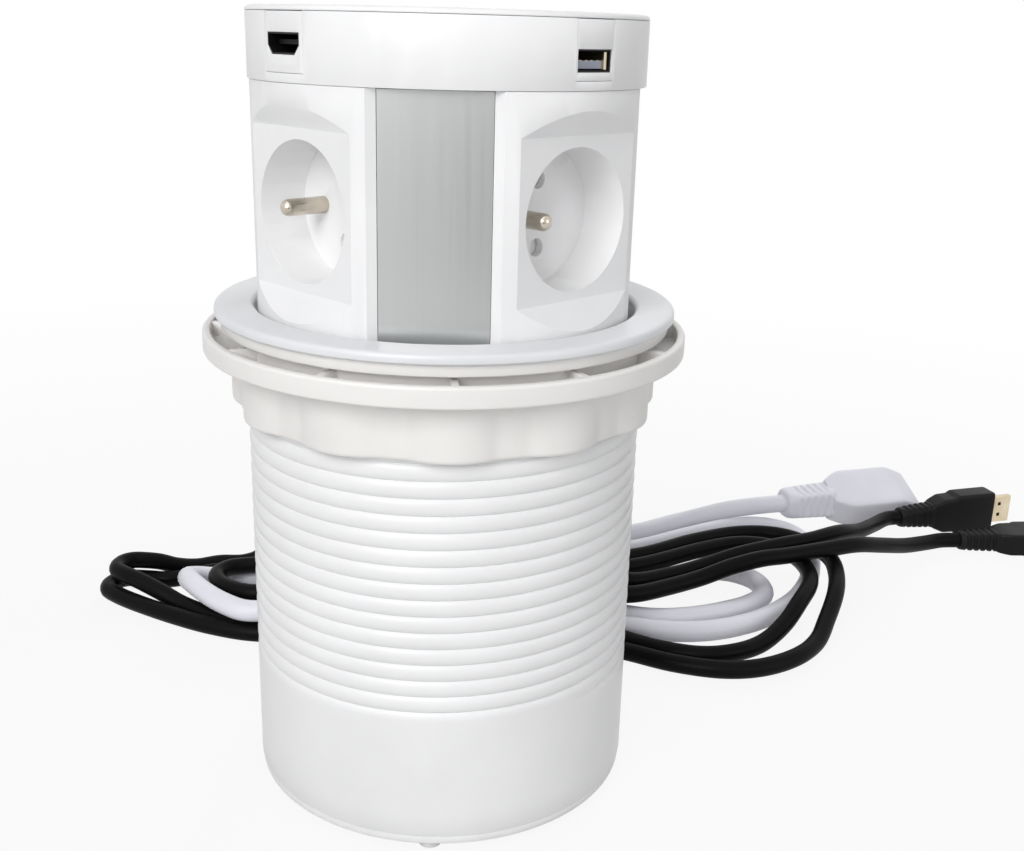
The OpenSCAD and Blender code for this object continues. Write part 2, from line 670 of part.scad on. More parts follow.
// Brass ring that joins one contact of every socket
module bus(z, x) {
  ring(bus_r, bus_r - 4, z - bus_t / 2, z + bus_t / 2);
  for (a = sides)
    rotate([0, 0, a])
      side_block(5, sqrt(pow(bus_r - 2, 2) - x * x), carrier_back - 1, z - bus_t / 2, z + bus_t / 2, x);
}

module live_bus() { color("goldenrod") bus(socket_z + hole_spacing / 2, 0); }
module neutral_bus() { color("goldenrod") bus(socket_z - hole_spacing / 2, 0); }
module earth_bus() { color("goldenrod") bus(socket_z, -earth_offset); }

// Ring over the panels: its floor clamps them, and its wall has a slot for each port insert
module port_ring() {
  color("whitesmoke")
    difference() {
      union() {
        ring(cap_r, cap_r - ring_wall, cap_low, ring_high);
        ring(cap_r - 1, ring_hole_r, cap_low, cap_low + ring_floor_t);
        for (a = quarters)
          rotate([0, 0, a]) {
            translate([0, -tie_r, cap_low]) cylinder(r = 5, h = 8);
            translate([0, -30, cap_low]) cylinder(r = 3, h = ring_floor_t + 1);
          }
      }
      for (a = quarters)
        rotate([0, 0, a]) translate([0, -tie_r, cap_low - 1]) cylinder(d = tie_d + 0.1, h = 7.2);
      for (a = [315, 135])
        rotate([0, 0, a])
          side_block(hdmi_insert_w + 2 * touch, insert_back, cap_r + 2, insert_low, ring_high + 1);
      for (a = [45, 225])
        rotate([0, 0, a])
          side_block(usb_insert_w + 2 * touch, insert_back, cap_r + 2, insert_low, ring_high + 1);
    }
}

// Lid of the port ring, with lugs that snap inside its wall
module top_lid() {
  low = top_z - lid_t;
  lug_d = cap_r - ring_wall - 0.4;
  color("whitesmoke") {
    rotate_extrude()
      polygon([[0, low], [cap_r, low], [cap_r, low + 0.4], [cap_r - 0.2, low + 0.9], [cap_r - 0.7, low + 1.3],
        [cap_r - 1.4, top_z], [0, top_z]]);
    for (a = quarters)
      rotate([0, 0, a]) side_block(10, lug_d - 2, lug_d, ring_high - 4, low + 0.5);
  }
}

// Blank body of a port insert: its face follows the ring, and shoulders sit behind the wall
module insert_body(w) {
  intersection() {
    union() {
      side_block(w, insert_back, cap_r + 1, insert_low + touch, ring_high - touch);
      side_block(w + 4, insert_back, cap_r - ring_wall - 1.6, insert_low + touch, ring_high - touch);
    }
    cylinder(r = cap_r - 0.05, h = 2 * top_z);
  }
}

// Outline of an HDMI port, wide side up, shrunk by an inset
module hdmi_outline(inset) {
  half = hdmi_w / 2 - inset;
  high = hdmi_h / 2 - inset;
  polygon([[-half, high], [half, high], [half, -0.4], [half - 1.9, -high], [1.9 - half, -high], [-half, -0.4]]);
}

// An outline carried outward on a side that faces -Y
module outward(from_d, to_d, z) {
  translate([0, -from_d, z]) rotate([90, 0, 0]) linear_extrude(height = to_d - from_d) children();
}

module hdmi_insert() {
  difference() {
    insert_body(hdmi_insert_w);
    outward(insert_back - 1, cap_r + 2, hdmi_z) hdmi_outline(0);
  }
}

module hdmi_insert_front() { color("white") rotate([0, 0, 315]) hdmi_insert(); }
module hdmi_insert_rear() { color("white") rotate([0, 0, 135]) hdmi_insert(); }

module usb_insert() {
  difference() {
    insert_body(usb_insert_w);
    side_block(usb_w, insert_back - 1, cap_r + 2, usb_z - usb_h / 2, usb_z + usb_h / 2);
  }
}

module usb_insert_front() { color("white") rotate([0, 0, 45]) usb_insert(); }
module usb_insert_rear() { color("white") rotate([0, 0, 225]) usb_insert(); }

// Folded metal shells of the HDMI ports
module hdmi_shells() {
  color("dimgray")
    for (a = [315, 135])
      rotate([0, 0, a])
        difference() {
          outward(cap_r - port_depth, cap_r - 1.4, hdmi_z) hdmi_outline(0.05);
          outward(cap_r - port_depth + 1, cap_r, hdmi_z) hdmi_outline(0.5);
        }
}

// Contact tongues of the HDMI ports
module hdmi_tongues() {
  color("black")
    for (a = [315, 135])
      rotate([0, 0, a])
        side_block(hdmi_w - 3.5, cap_r - port_depth + 1, cap_r - 3, hdmi_z - 0.2, hdmi_z + 1);
}

// Folded metal shells of the USB ports
module usb_shells() {
  color("silver")
    for (a = [45, 225])
      rotate([0, 0, a])
        difference() {
          side_block(usb_w - touch, cap_r - port_depth, cap_r - 1, usb_z - usb_h / 2 + touch / 2,
            usb_z + usb_h / 2 - touch / 2);
          side_block(usb_w - 1, cap_r - port_depth + 1, cap_r,
            usb_z - usb_h / 2 + 0.45, usb_z + usb_h / 2 - 0.45);
        }
}

// Contact tongues of the USB ports, in the lower half of each
module usb_tongues() {
  color("slategray")
    for (a = [45, 225])
      rotate([0, 0, a])
        side_block(usb_w - 2 * tongue_side, cap_r - port_depth + 1, cap_r - 2.4, usb_z - 2, usb_z);
}

// Circuit board in the port ring
module port_board() {
  low = cap_low + ring_floor_t + 1;
  color("darkgreen")
    difference() {
      translate([0, 0, low]) cylinder(r = tie_r - board_inset, h = 1.6);
      for (a = quarters)
        rotate([0, 0, a]) translate([0, -tie_r, low - 1]) cylinder(r = 5.4, h = 4);
      translate([0, 0, low - 1]) cylinder(r = 6, h = 4);
    }
}

// Charger block that feeds the USB ports
module usb_power_module() {
  color("dimgray") translate([-16, 8, cap_low + ring_floor_t + 2.6]) cube([32, 20, 8]);
}

// Flexible leads inside the tube, from the glands up through the base
module inner_leads() {
  color("gainsboro")
    for (i = [-1 : 1])
      let (x = i * gland_step, hole_x = i * lead_hole_step)
        tube_along(smooth([[x, gland_back - 0.1, gland_z], [x, gland_back - 4, gland_z],
          [x, gland_back - 8, gland_z], [(x + hole_x) / 2, lead_hole_y + 6, gland_z + 10],
          [hole_x, lead_hole_y, gland_z + 28], [hole_x, lead_hole_y, tower_low - 38],
          [hole_x, lead_hole_y, tower_low + 12]], 2),
          (i == -1 ? mains_d : hdmi_d) / 2, lead_sides, [1, 0, 0]);
}

// Free leads behind the tube
module free_lead(route, d) {
  at_glands() tube_along(smooth(route, 2), d / 2, lead_sides);
}

module mains_lead() { color("ghostwhite") free_lead(mains_route, mains_d); }
module hdmi_lead_1() { color("black") free_lead(hdmi_1_route, hdmi_d); }
module hdmi_lead_2() { color("black") free_lead(hdmi_2_route, hdmi_d); }

// A plug is drawn along +X from the lead's end and laid down in its place
module laid(place) {
  at_glands()
    translate([place[0], place[1], place[2]]) rotate([0, 0, place[3]]) rotate([place[4], 0, 0]) children();
}

// Ribbed strain relief that widens from the lead to the plug's body
module relief(low_r, high_r, length, ribs) {
  step = length / ribs;
  rotate([0, 90, 0])
    rotate_extrude()
      polygon(concat([[0, 0]],
        [for (i = [0 : ribs - 1]) let (r = low_r + (high_r - low_r) * i / ribs)
          each [[r, i * step], [r, (i + 0.6) * step], [r - 0.8, (i + 0.6) * step], [r - 0.8, (i + 1) * step]]],
        [[high_r, length], [high_r, length + collar], [0, length + collar]]));
}

// Moulded grip: one outline from above and one from the side
module grip(length, back_w, front_w, back_h, front_h, flare, bevel) {
  intersection() {
    translate([0, 0, -front_h]) linear_extrude(height = 2 * front_h)
      polygon([[0, back_w / 2], [flare, front_w / 2], [length, front_w / 2],
        [length, -front_w / 2], [flare, -front_w / 2], [0, -back_w / 2]]);
    rotate([90, 0, 0]) translate([0, 0, -front_w]) linear_extrude(height = 2 * front_w)
      polygon([[0, back_h / 2], [flare, front_h / 2], [length - 2 * bevel, front_h / 2],
        [length, front_h / 2 - bevel], [length, -front_h / 2], [flare, -front_h / 2], [0, -back_h / 2]]);
  }
}

// Moulded mains connector, with its blades in a shroud
module mains_plug() {
  color("ghostwhite")
    laid(mains_plug_place)
      difference() {
        union() {
          relief(mains_d / 2 + 2.6, 8, mains_relief, 5);
          translate([mains_relief + collar / 2, 0, 0]) grip(mains_grip, 16, 25, 15, 16.4, 9, 6);
        }
        translate([mains_back, -10, -6.7]) cube([mains_shroud + 1, 20, 7.6]);
      }
}

// Three flat blades of the mains connector
module mains_blades() {
  color("silver")
    laid(mains_plug_place)
      for (p = [[-6.5, -4.2], [0, -1.6], [6.5, -4.2]])
        translate([mains_back, p[0] - 1, p[1] - 2]) cube([mains_shroud - 1.5, 2, 4]);
}

module hdmi_plug(place) {
  laid(place) {
    relief(hdmi_d / 2 + 0.9, 5, hdmi_relief, 5);
    translate([hdmi_relief + collar / 2, 0, 0]) grip(hdmi_grip, 12, 20.5, 9, 11, 7, 0.5);
  }
}

module hdmi_plug_1() { color("black") hdmi_plug(hdmi_plug_places[0]); }
module hdmi_plug_2() { color("black") hdmi_plug(hdmi_plug_places[1]); }

// Folded metal noses of the HDMI plugs
module hdmi_plug_shells() {
  color("wheat")
    for (place = hdmi_plug_places)
      laid(place) translate([hdmi_front, 0, 0]) rotate([90, 0, 90])
        difference() {
          linear_extrude(height = hdmi_nose)
            polygon([[-6.95, 2.2], [6.95, 2.2], [6.95, -0.2], [5.2, -2.2], [-5.2, -2.2], [-6.95, -0.2]]);
          translate([0, 0, 2]) linear_extrude(height = hdmi_nose)
            polygon([[-6.45, 1.7], [6.45, 1.7], [6.45, 0], [5, -1.7], [-5, -1.7], [-6.45, 0]]);
        }
}

union() {
  echo(mains_lead_gap = self_gap(smooth(mains_route, 8), mains_d));
  echo(hdmi_lead_1_gap = self_gap(smooth(hdmi_1_route, 8), hdmi_d));
  echo(hdmi_lead_2_gap = self_gap(smooth(hdmi_2_route, 8), hdmi_d));
}

outer_tube();
flange_ring();
bottom_cap();
bottom_screws();
feet();
mains_gland();
hdmi_glands();
latch_body();
latch_plunger();
slip_washer();
lock_nut();
tower_base();
strike_plate();
lift_spring();
tie_rods();
socket_panel_front_left();
socket_panel_front_right();
socket_panel_rear_right();
socket_panel_rear_left();
trim_strip_front();
trim_strip_right();
trim_strip_rear();
trim_strip_left();
shutter_front_left();
shutter_front_right();
shutter_rear_right();
shutter_rear_left();
shutter_springs();
earth_pins();
contact_carrier_front_left();
contact_carrier_front_right();
contact_carrier_rear_right();
contact_carrier_rear_left();
live_clips();
neutral_clips();
live_bus();
neutral_bus();
earth_bus();
port_ring();
top_lid();
hdmi_insert_front();
hdmi_insert_rear();
usb_insert_front();
usb_insert_rear();
hdmi_shells();
hdmi_tongues();
usb_shells();
usb_tongues();
port_board();
usb_power_module();
inner_leads();
mains_lead();
mains_plug();
mains_blades();
hdmi_lead_1();
hdmi_lead_2();
hdmi_plug_1();
hdmi_plug_2();
hdmi_plug_shells();
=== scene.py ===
import math

import bmesh
import bpy
import numpy as np
from mathutils import Matrix, Vector


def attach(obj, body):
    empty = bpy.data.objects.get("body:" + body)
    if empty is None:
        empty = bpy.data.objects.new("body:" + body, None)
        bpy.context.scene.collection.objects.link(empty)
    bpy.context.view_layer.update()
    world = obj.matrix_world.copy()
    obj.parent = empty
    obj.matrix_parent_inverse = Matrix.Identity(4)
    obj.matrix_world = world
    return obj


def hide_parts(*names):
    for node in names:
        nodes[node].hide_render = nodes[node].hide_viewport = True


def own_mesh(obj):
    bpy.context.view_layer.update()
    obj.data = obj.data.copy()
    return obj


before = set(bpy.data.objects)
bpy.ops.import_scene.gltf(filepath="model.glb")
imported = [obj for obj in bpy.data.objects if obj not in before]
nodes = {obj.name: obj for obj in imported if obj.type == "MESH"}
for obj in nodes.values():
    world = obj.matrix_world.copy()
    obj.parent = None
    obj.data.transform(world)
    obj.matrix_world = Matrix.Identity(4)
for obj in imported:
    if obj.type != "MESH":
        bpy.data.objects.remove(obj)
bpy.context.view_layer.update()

# Camera. It stands a little right of the front trim strip, a forearm away and above the flange,
# looks down by 18 degrees and leans slightly to one side.
eye = Vector((0.02258, -0.37159, 0.23515))
heading, pitch, lean = (math.radians(a) for a in (-0.193, 17.908, 1.555))
ahead = Vector((math.sin(heading) * math.cos(pitch), math.cos(heading) * math.cos(pitch), -math.sin(pitch)))
level = Vector((math.cos(heading), -math.sin(heading), 0))
above = level.cross(ahead)
right = level * math.cos(lean) + above * math.sin(lean)
up = above * math.cos(lean) - level * math.sin(lean)
camera_data = bpy.data.cameras.new("camera")
camera_data.sensor_fit = "HORIZONTAL"
camera_data.sensor_width = 36
camera_data.lens = 43.04
camera_data.clip_start = 0.01
camera = bpy.data.objects.new("camera", camera_data)
camera.matrix_world = Matrix.Translation(eye) @ Matrix((right, up, -ahead)).transposed().to_4x4()
bpy.context.scene.collection.objects.link(camera)
bpy.context.scene.camera = camera
bpy.context.scene.view_settings.view_transform = "Standard"

# Floor and light. The unit stands on a seamless white sheet, lit by a soft box in front on the left, with
# weaker ones overhead, on the right, low in front and behind. A grey card in front is seen only in mirrors,
# where it shades the brushed strip.


def seen_ray(tree):
    """Return a socket that is 1 for rays from the camera, from a mirror or through glass, and 0 for light."""
    path = tree.nodes.new("ShaderNodeLightPath")
    first = tree.nodes.new("ShaderNodeMath")
    first.operation = "MAXIMUM"
    tree.links.new(path.outputs["Is Camera Ray"], first.inputs[0])
    tree.links.new(path.outputs["Is Glossy Ray"], first.inputs[1])
    second = tree.nodes.new("ShaderNodeMath")
    second.operation = "MAXIMUM"
    tree.links.new(first.outputs[0], second.inputs[0])
    tree.links.new(path.outputs["Is Transmission Ray"], second.inputs[1])
    return second.outputs[0]


world = bpy.data.worlds.new("studio")
bpy.context.scene.world = world
world.use_nodes = True
sky = world.node_tree
sky.nodes.clear()
shown = sky.nodes.new("ShaderNodeBackground")
shown.inputs["Color"].default_value = (1, 1, 1, 1)
shown.inputs["Strength"].default_value = 1
ambient = sky.nodes.new("ShaderNodeBackground")
ambient.inputs["Color"].default_value = (0.97, 0.98, 1, 1)
ambient.inputs["Strength"].default_value = 0.26
choose = sky.nodes.new("ShaderNodeMixShader")
out = sky.nodes.new("ShaderNodeOutputWorld")
sky.links.new(seen_ray(sky), choose.inputs[0])
sky.links.new(ambient.outputs[0], choose.inputs[1])
sky.links.new(shown.outputs[0], choose.inputs[2])
sky.links.new(choose.outputs[0], out.inputs["Surface"])

paper = bpy.data.materials.new("white_sheet")
paper.use_nodes = True
tree = paper.node_tree
tree.nodes.clear()
lit = tree.nodes.new("ShaderNodeBsdfDiffuse")
lit.inputs["Color"].default_value = (0.55, 0.55, 0.55, 1)
glow = tree.nodes.new("ShaderNodeEmission")
glow.inputs["Color"].default_value = (1, 1, 1, 1)
glow.inputs["Strength"].default_value = 1
share = tree.nodes.new("ShaderNodeMath")
share.operation = "MULTIPLY"
ground = tree.nodes.new("ShaderNodeTexCoord")
away = tree.nodes.new("ShaderNodeVectorMath")
away.operation = "LENGTH"
fade = tree.nodes.new("ShaderNodeMapRange")
fade.inputs["From Min"].default_value = 0.2
fade.inputs["From Max"].default_value = 0.8
fade.inputs["To Min"].default_value = 0.9
fade.inputs["To Max"].default_value = 1
tree.links.new(ground.outputs["Object"], away.inputs[0])
tree.links.new(away.outputs["Value"], fade.inputs["Value"])
tree.links.new(fade.outputs["Result"], share.inputs[1])
choose = tree.nodes.new("ShaderNodeMixShader")
out = tree.nodes.new("ShaderNodeOutputMaterial")
tree.links.new(seen_ray(tree), share.inputs[0])
tree.links.new(share.outputs[0], choose.inputs[0])
tree.links.new(lit.outputs[0], choose.inputs[1])
tree.links.new(glow.outputs[0], choose.inputs[2])
tree.links.new(choose.outputs[0], out.inputs["Surface"])


def flat_sheet(name, corners, material):
    """A single face between four corners in metres."""
    mesh = bpy.data.meshes.new(name)
    mesh.from_pydata(corners, [], [(0, 1, 2, 3)])
    mesh.materials.append(material)
    sheet = bpy.data.objects.new(name, mesh)
    bpy.context.scene.collection.objects.link(sheet)
    return sheet


reach, floor_z = 6, -0.0003
floor = flat_sheet("floor", [(-reach, -reach, floor_z), (reach, -reach, floor_z), (reach, reach, floor_z),
                             (-reach, reach, floor_z)], paper)


def soft_box(name, place, target, size, power, mirrored=True):
    """Add a square area lamp at a place, aimed at a target; glossy surfaces may be kept from mirroring it."""
    lamp = bpy.data.lights.new(name, "AREA")
    lamp.shape = "SQUARE"
    lamp.size = size
    lamp.energy = power
    holder = bpy.data.objects.new(name, lamp)
    direction = Vector(target) - Vector(place)
    holder.matrix_world = Matrix.Translation(place) @ direction.to_track_quat("-Z", "Y").to_matrix().to_4x4()
    holder.visible_glossy = mirrored
    bpy.context.scene.collection.objects.link(holder)


soft_box("left_box", (-0.42, -1.0, 0.76), (0, 0, 0.1), 0.7, 10)
soft_box("top_box", (-0.1, -0.2, 1.3), (0, 0, 0.12), 0.9, 2.2)
soft_box("right_box", (1.0, -0.6, 0.5), (0, 0, 0.12), 0.6, 1.9)
soft_box("low_box", (0.1, -1.2, 0.24), (0, 0, 0.12), 0.5, 1.6, mirrored=False)
soft_box("rear_box", (0.4, 1.15, 0.8), (0.03, 0.1, 0.1), 0.7, 8, mirrored=False)
card_paint = bpy.data.materials.new("grey_card")
card_paint.use_nodes = True
card_paint.node_tree.nodes["Principled BSDF"].inputs["Base Color"].default_value = (0.2, 0.2, 0.2, 1)
card_y, card_left, card_right, card_top = -0.8, -0.045, 0.3, 0.21
card = flat_sheet("card", [(card_left, card_y, 0), (card_right, card_y, 0), (card_right, card_y, card_top),
                           (card_left, card_y, card_top)], card_paint)
card.visible_camera = card.visible_diffuse = card.visible_transmission = card.visible_shadow = False

# Mains lead and its moulded connector. The lead is a round white jacket that lies in loose loops behind the
# tube; the connector is moulded on its end in one piece with a ribbed strain relief and a shrouded nose.


def surface_grain():
    """Build the shared grain: fine noise for the height, coarse noise for the tone and the gloss."""
    group = bpy.data.node_groups.new("surface_grain", "ShaderNodeTree")
    group.interface.new_socket("Vector", in_out="INPUT", socket_type="NodeSocketVector")
    group.interface.new_socket("Fine", in_out="INPUT", socket_type="NodeSocketFloat")
    group.interface.new_socket("Coarse", in_out="INPUT", socket_type="NodeSocketFloat")
    group.interface.new_socket("Height", in_out="OUTPUT", socket_type="NodeSocketFloat")
    group.interface.new_socket("Tone", in_out="OUTPUT", socket_type="NodeSocketFloat")
    source = group.nodes.new("NodeGroupInput")
    sink = group.nodes.new("NodeGroupOutput")
    for label, detail, result in (("Fine", 2, "Height"), ("Coarse", 4, "Tone")):
        noise = group.nodes.new("ShaderNodeTexNoise")
        noise.inputs["Detail"].default_value = detail
        group.links.new(source.outputs["Vector"], noise.inputs["Vector"])
        group.links.new(source.outputs[label], noise.inputs["Scale"])
        group.links.new(noise.outputs["Fac"], sink.inputs[result])
    return group


grain = surface_grain()


def graded(tree, value, low, high):
    """Return a socket that carries a noise value from its usual range, 0.3 to 0.7, to another."""
    node = tree.nodes.new("ShaderNodeMapRange")
    node.inputs["From Min"].default_value = 0.3
    node.inputs["From Max"].default_value = 0.7
    node.inputs["To Min"].default_value = low
    node.inputs["To Max"].default_value = high
    tree.links.new(value, node.inputs["Value"])
    return node.outputs["Result"]


def surface(name, dark, light, rough, grain_mm=0.35, depth_mm=0.012, cloud_mm=30, metal=0.0, gloss=0.5,
            spread=0.05, strength=0.5, stretch=None):
    """A moulded, plated or brushed finish: colour and gloss drift with the coarse noise, and fine noise lifts
    the skin. A stretch scales the noise along each axis, as brushing draws it out."""
    material = bpy.data.materials.new(name)
    material.use_nodes = True
    tree = material.node_tree
    shader = tree.nodes["Principled BSDF"]
    shader.inputs["Metallic"].default_value = metal
    shader.inputs["Specular IOR Level"].default_value = gloss
    place = tree.nodes.new("ShaderNodeTexCoord").outputs["Object"]
    if stretch:
        drawn = tree.nodes.new("ShaderNodeMapping")
        drawn.inputs["Scale"].default_value = stretch
        tree.links.new(place, drawn.inputs["Vector"])
        place = drawn.outputs["Vector"]
    skin = tree.nodes.new("ShaderNodeGroup")
    skin.node_tree = grain
    skin.inputs["Fine"].default_value = 1000 / grain_mm
    skin.inputs["Coarse"].default_value = 1000 / cloud_mm
    tree.links.new(place, skin.inputs["Vector"])
    tint = tree.nodes.new("ShaderNodeValToRGB")
    tint.color_ramp.elements[0].position = 0.3
    tint.color_ramp.elements[0].color = (*dark, 1)
    tint.color_ramp.elements[1].position = 0.7
    tint.color_ramp.elements[1].color = (*light, 1)
    tree.links.new(skin.outputs["Tone"], tint.inputs["Fac"])
    tree.links.new(tint.outputs["Color"], shader.inputs["Base Color"])
    gloss_drift = graded(tree, skin.outputs["Tone"], rough - spread, rough + spread)
    tree.links.new(gloss_drift, shader.inputs["Roughness"])
    lift = tree.nodes.new("ShaderNodeBump")
    lift.inputs["Strength"].default_value = strength
    lift.inputs["Distance"].default_value = depth_mm / 1000
    tree.links.new(skin.outputs["Height"], lift.inputs["Height"])
    tree.links.new(lift.outputs["Normal"], shader.inputs["Normal"])
    return material


def lead_path(points, steps=8):
    """Points of a smooth curve through a route in millimetres, given in metres: between two points b and c,
    with a before and d after, half of 2b + (c-a)t + (2a-5b+4c-d)t^2 + (3b-a-3c+d)t^3, and the ends carried
    straight on."""
    p = np.array(points) / 1000
    p = np.vstack([2 * p[0] - p[1], p, 2 * p[-1] - p[-2]])
    a, b, c, d = (p[i:len(p) - 3 + i, None] for i in range(4))
    t = (np.arange(steps) / steps)[None, :, None]
    curve = 0.5 * (2 * b + (c - a) * t + (2 * a - 5 * b + 4 * c - d) * t**2 + (3 * b - a - 3 * c + d) * t**3)
    return np.vstack([curve.reshape(-1, 3), p[-2]])


def laid_lead(name, points, diameter, jacket):
    """A round lead along a route, as one open curve with a round bevel."""
    path = lead_path(points)
    curve = bpy.data.curves.new(name, "CURVE")
    curve.dimensions = "3D"
    curve.bevel_depth = diameter / 2
    curve.bevel_resolution = 6
    curve.use_fill_caps = True
    line = curve.splines.new("POLY")
    line.points.add(len(path) - 1)
    line.points.foreach_set("co", np.column_stack([path, np.ones(len(path))]).ravel())
    curve.materials.append(jacket)
    lead = bpy.data.objects.new(name, curve)
    bpy.context.scene.collection.objects.link(lead)
    return lead, float(np.linalg.norm(np.diff(path, axis=0), axis=1).sum())


def mesh_piece(name, points, faces, material, sharp=35):
    """A mesh from points in millimetres: doubles are merged, and edges past the sharp angle stay crisp."""
    mesh = bpy.data.meshes.new(name)
    mesh.from_pydata((np.asarray(points) / 1000).tolist(), [], [list(map(int, f)) for f in faces])
    work = bmesh.new()
    work.from_mesh(mesh)
    bmesh.ops.remove_doubles(work, verts=work.verts, dist=1e-6)
    bmesh.ops.dissolve_degenerate(work, edges=work.edges, dist=1e-7)
    bmesh.ops.recalc_face_normals(work, faces=work.faces)
    work.to_mesh(mesh)
    work.free()
    mesh.shade_smooth()
    mesh.set_sharp_from_angle(angle=math.radians(sharp))
    mesh.materials.append(material)
    piece = bpy.data.objects.new(name, mesh)
    bpy.context.scene.collection.objects.link(piece)
    return piece


def grid_faces(rows, columns, closed_rows=False):
    """Quads of a grid whose columns close on themselves, and its rows too if asked."""
    i, j = np.meshgrid(np.arange(rows if closed_rows else rows - 1), np.arange(columns), indexing="ij")
    below, beside = (i + 1) % rows, (j + 1) % columns
    quads = [i * columns + j, i * columns + beside, below * columns + beside, below * columns + j]
    return np.stack(quads, -1).reshape(-1, 4).tolist()


def capped_faces(rows, columns):
    """Quads of a grid whose columns close on themselves, with a flat face on its first and its last row."""
    last = (rows - 1) * columns
    return grid_faces(rows, columns) + [list(range(columns)), list(range(last, last + columns))]


def loft(x, width, height, power, around=72, lift=0.0, dent=0.0):
    """A body along X: each section is the curve |y/w|^n + |z/h|^n = 1 with its own half sizes w and h and its
    power n, lifted by an amount and drawn in by the share dent * cos(2 angle)^2, which spares the corners.
    Flat faces close the two ends."""
    x, width, height, power, lift, dent = np.broadcast_arrays(
        *(np.asarray(v, float) for v in (x, width, height, power, lift, dent)))
    turn = np.linspace(0, 2 * np.pi, around, endpoint=False)[None, :]
    c, s = np.cos(turn), np.sin(turn)
    n = 2 / power[:, None]
    kept = 1 - dent[:, None] * np.cos(2 * turn) ** 2
    y = width[:, None] * np.sign(c) * np.abs(c) ** n * kept
    z = height[:, None] * np.sign(s) * np.abs(s) ** n * kept + lift[:, None]
    points = np.stack([np.broadcast_to(x[:, None], y.shape), y, z], -1).reshape(-1, 3)
    return points, capped_faces(len(x), around)


def joined(*shapes):
    """Several shapes of points and faces as one."""
    points, faces = [], []
    for more_points, more_faces in shapes:
        start = sum(len(p) for p in points)
        points.append(np.asarray(more_points, float))
        faces += [[v + start for v in f] for f in more_faces]
    return np.vstack(points), faces


def laid(points, place):
    """Roll a shape about its length, turn it about Z and move it: place is x, y, z, turn and roll."""
    x, y, z, turn, roll = place
    a, b = math.radians(roll), math.radians(turn)
    tilt = np.array([[1, 0, 0], [0, math.cos(a), -math.sin(a)], [0, math.sin(a), math.cos(a)]])
    spin = np.array([[math.cos(b), -math.sin(b), 0], [math.sin(b), math.cos(b), 0], [0, 0, 1]])
    return np.asarray(points) @ (spin @ tilt).T + np.array([x, y, z])


def notches(x, start, pitch, count, half):
    """Rounded grooves: 1 at the middle of each of a row of notches along x, and 0 between them."""
    near = np.abs(x[:, None] - (start + pitch * np.arange(count))[None, :]).min(1)
    return np.clip(1 - (near / half) ** 2, 0, 1)


def dressed(name, material):
    """Give a solid of the frame its material."""
    mesh = nodes[name].data
    mesh.materials.clear()
    mesh.materials.append(material)
    return nodes[name]


white_jacket = surface("white_jacket", (0.80, 0.80, 0.87), (0.86, 0.86, 0.92), 0.45, 0.6, 0.02, 25)
mains_route = [
    (-24, 73.6, 16), (-24, 84, 16), (-24, 95, 16), (-23, 106, 14.8), (-15, 118, 10.5), (2, 124, 5.6),
    (28, 120, 4.4), (54, 114, 4.4), (76, 117, 4.4), (92, 126, 4.4), (105.7, 134.4, 4.4), (119.4, 136.5, 4.4),
    (130.4, 128.3, 4.4), (132.5, 114.6, 4.4), (124.3, 103.6, 4.4), (110, 95, 4.4), (95, 89.5, 4.4),
    (80, 88, 4.4), (64, 92, 4.4), (46, 97.5, 4.4), (28, 99.5, 4.4), (4, 99.6, 4.4), (-16, 99.3, 4.4),
    (-33, 99, 4.4), (-47, 101, 4.4), (-57.5, 107.5, 4.4), (-63, 117.5, 4.4), (-63.5, 129, 4.4),
    (-59, 139, 4.4), (-50, 146.2, 4.4), (-38, 149, 4.4), (-22, 149, 4.4), (0, 148, 4.4), (40, 149, 4.4),
    (76, 157, 4.4), (106, 176, 4.4), (130, 190, 4.4), (147, 192, 4.4), (159, 183, 4.4), (163, 166, 4.4),
    (160, 146, 4.4), (153, 124, 4.4), (141, 104, 4.4), (124, 88, 4.4), (104, 78.5, 4.4), (84, 77, 4.4),
    (64, 82, 4.4), (46, 88, 4.4), (28, 90, 4.4), (4, 90.1, 4.4), (-14, 89.9, 4.4), (-28, 89.6, 4.5),
    (-41, 88, 6.6), (-53, 83, 10.8), (-64, 75.5, 12.7), (-74, 68.8, 12.7), (-83.5, 68.3, 12.6),
    (-92.5, 73.8, 12.5), (-101, 81.5, 12.5), (-109, 90.8, 12.5), (-114.3, 100, 11.2), (-113.2, 108.8, 7.8),
    (-106, 114, 5), (-96, 114.8, 4.4), (-85.5, 117, 4.4), (-77.5, 125, 4.4), (-73.5, 137, 4.4),
    (-67.5, 149, 4.4), (-57, 158, 4.4), (-42, 162, 4.4), (-22, 162, 4.4), (0, 161, 4.4), (40, 164, 4.4),
    (78, 177, 4.4), (100, 190.5, 4.8), (114, 195.5, 6.8), (128, 196.8, 10.4), (141, 197, 12.7),
    (149, 198.6, 13.2), (157, 201, 13.2)]
mains_lead, mains_length = laid_lead("white_mains_lead", mains_route, 0.0086, white_jacket)
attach(mains_lead, "housing")
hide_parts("mains_lead")

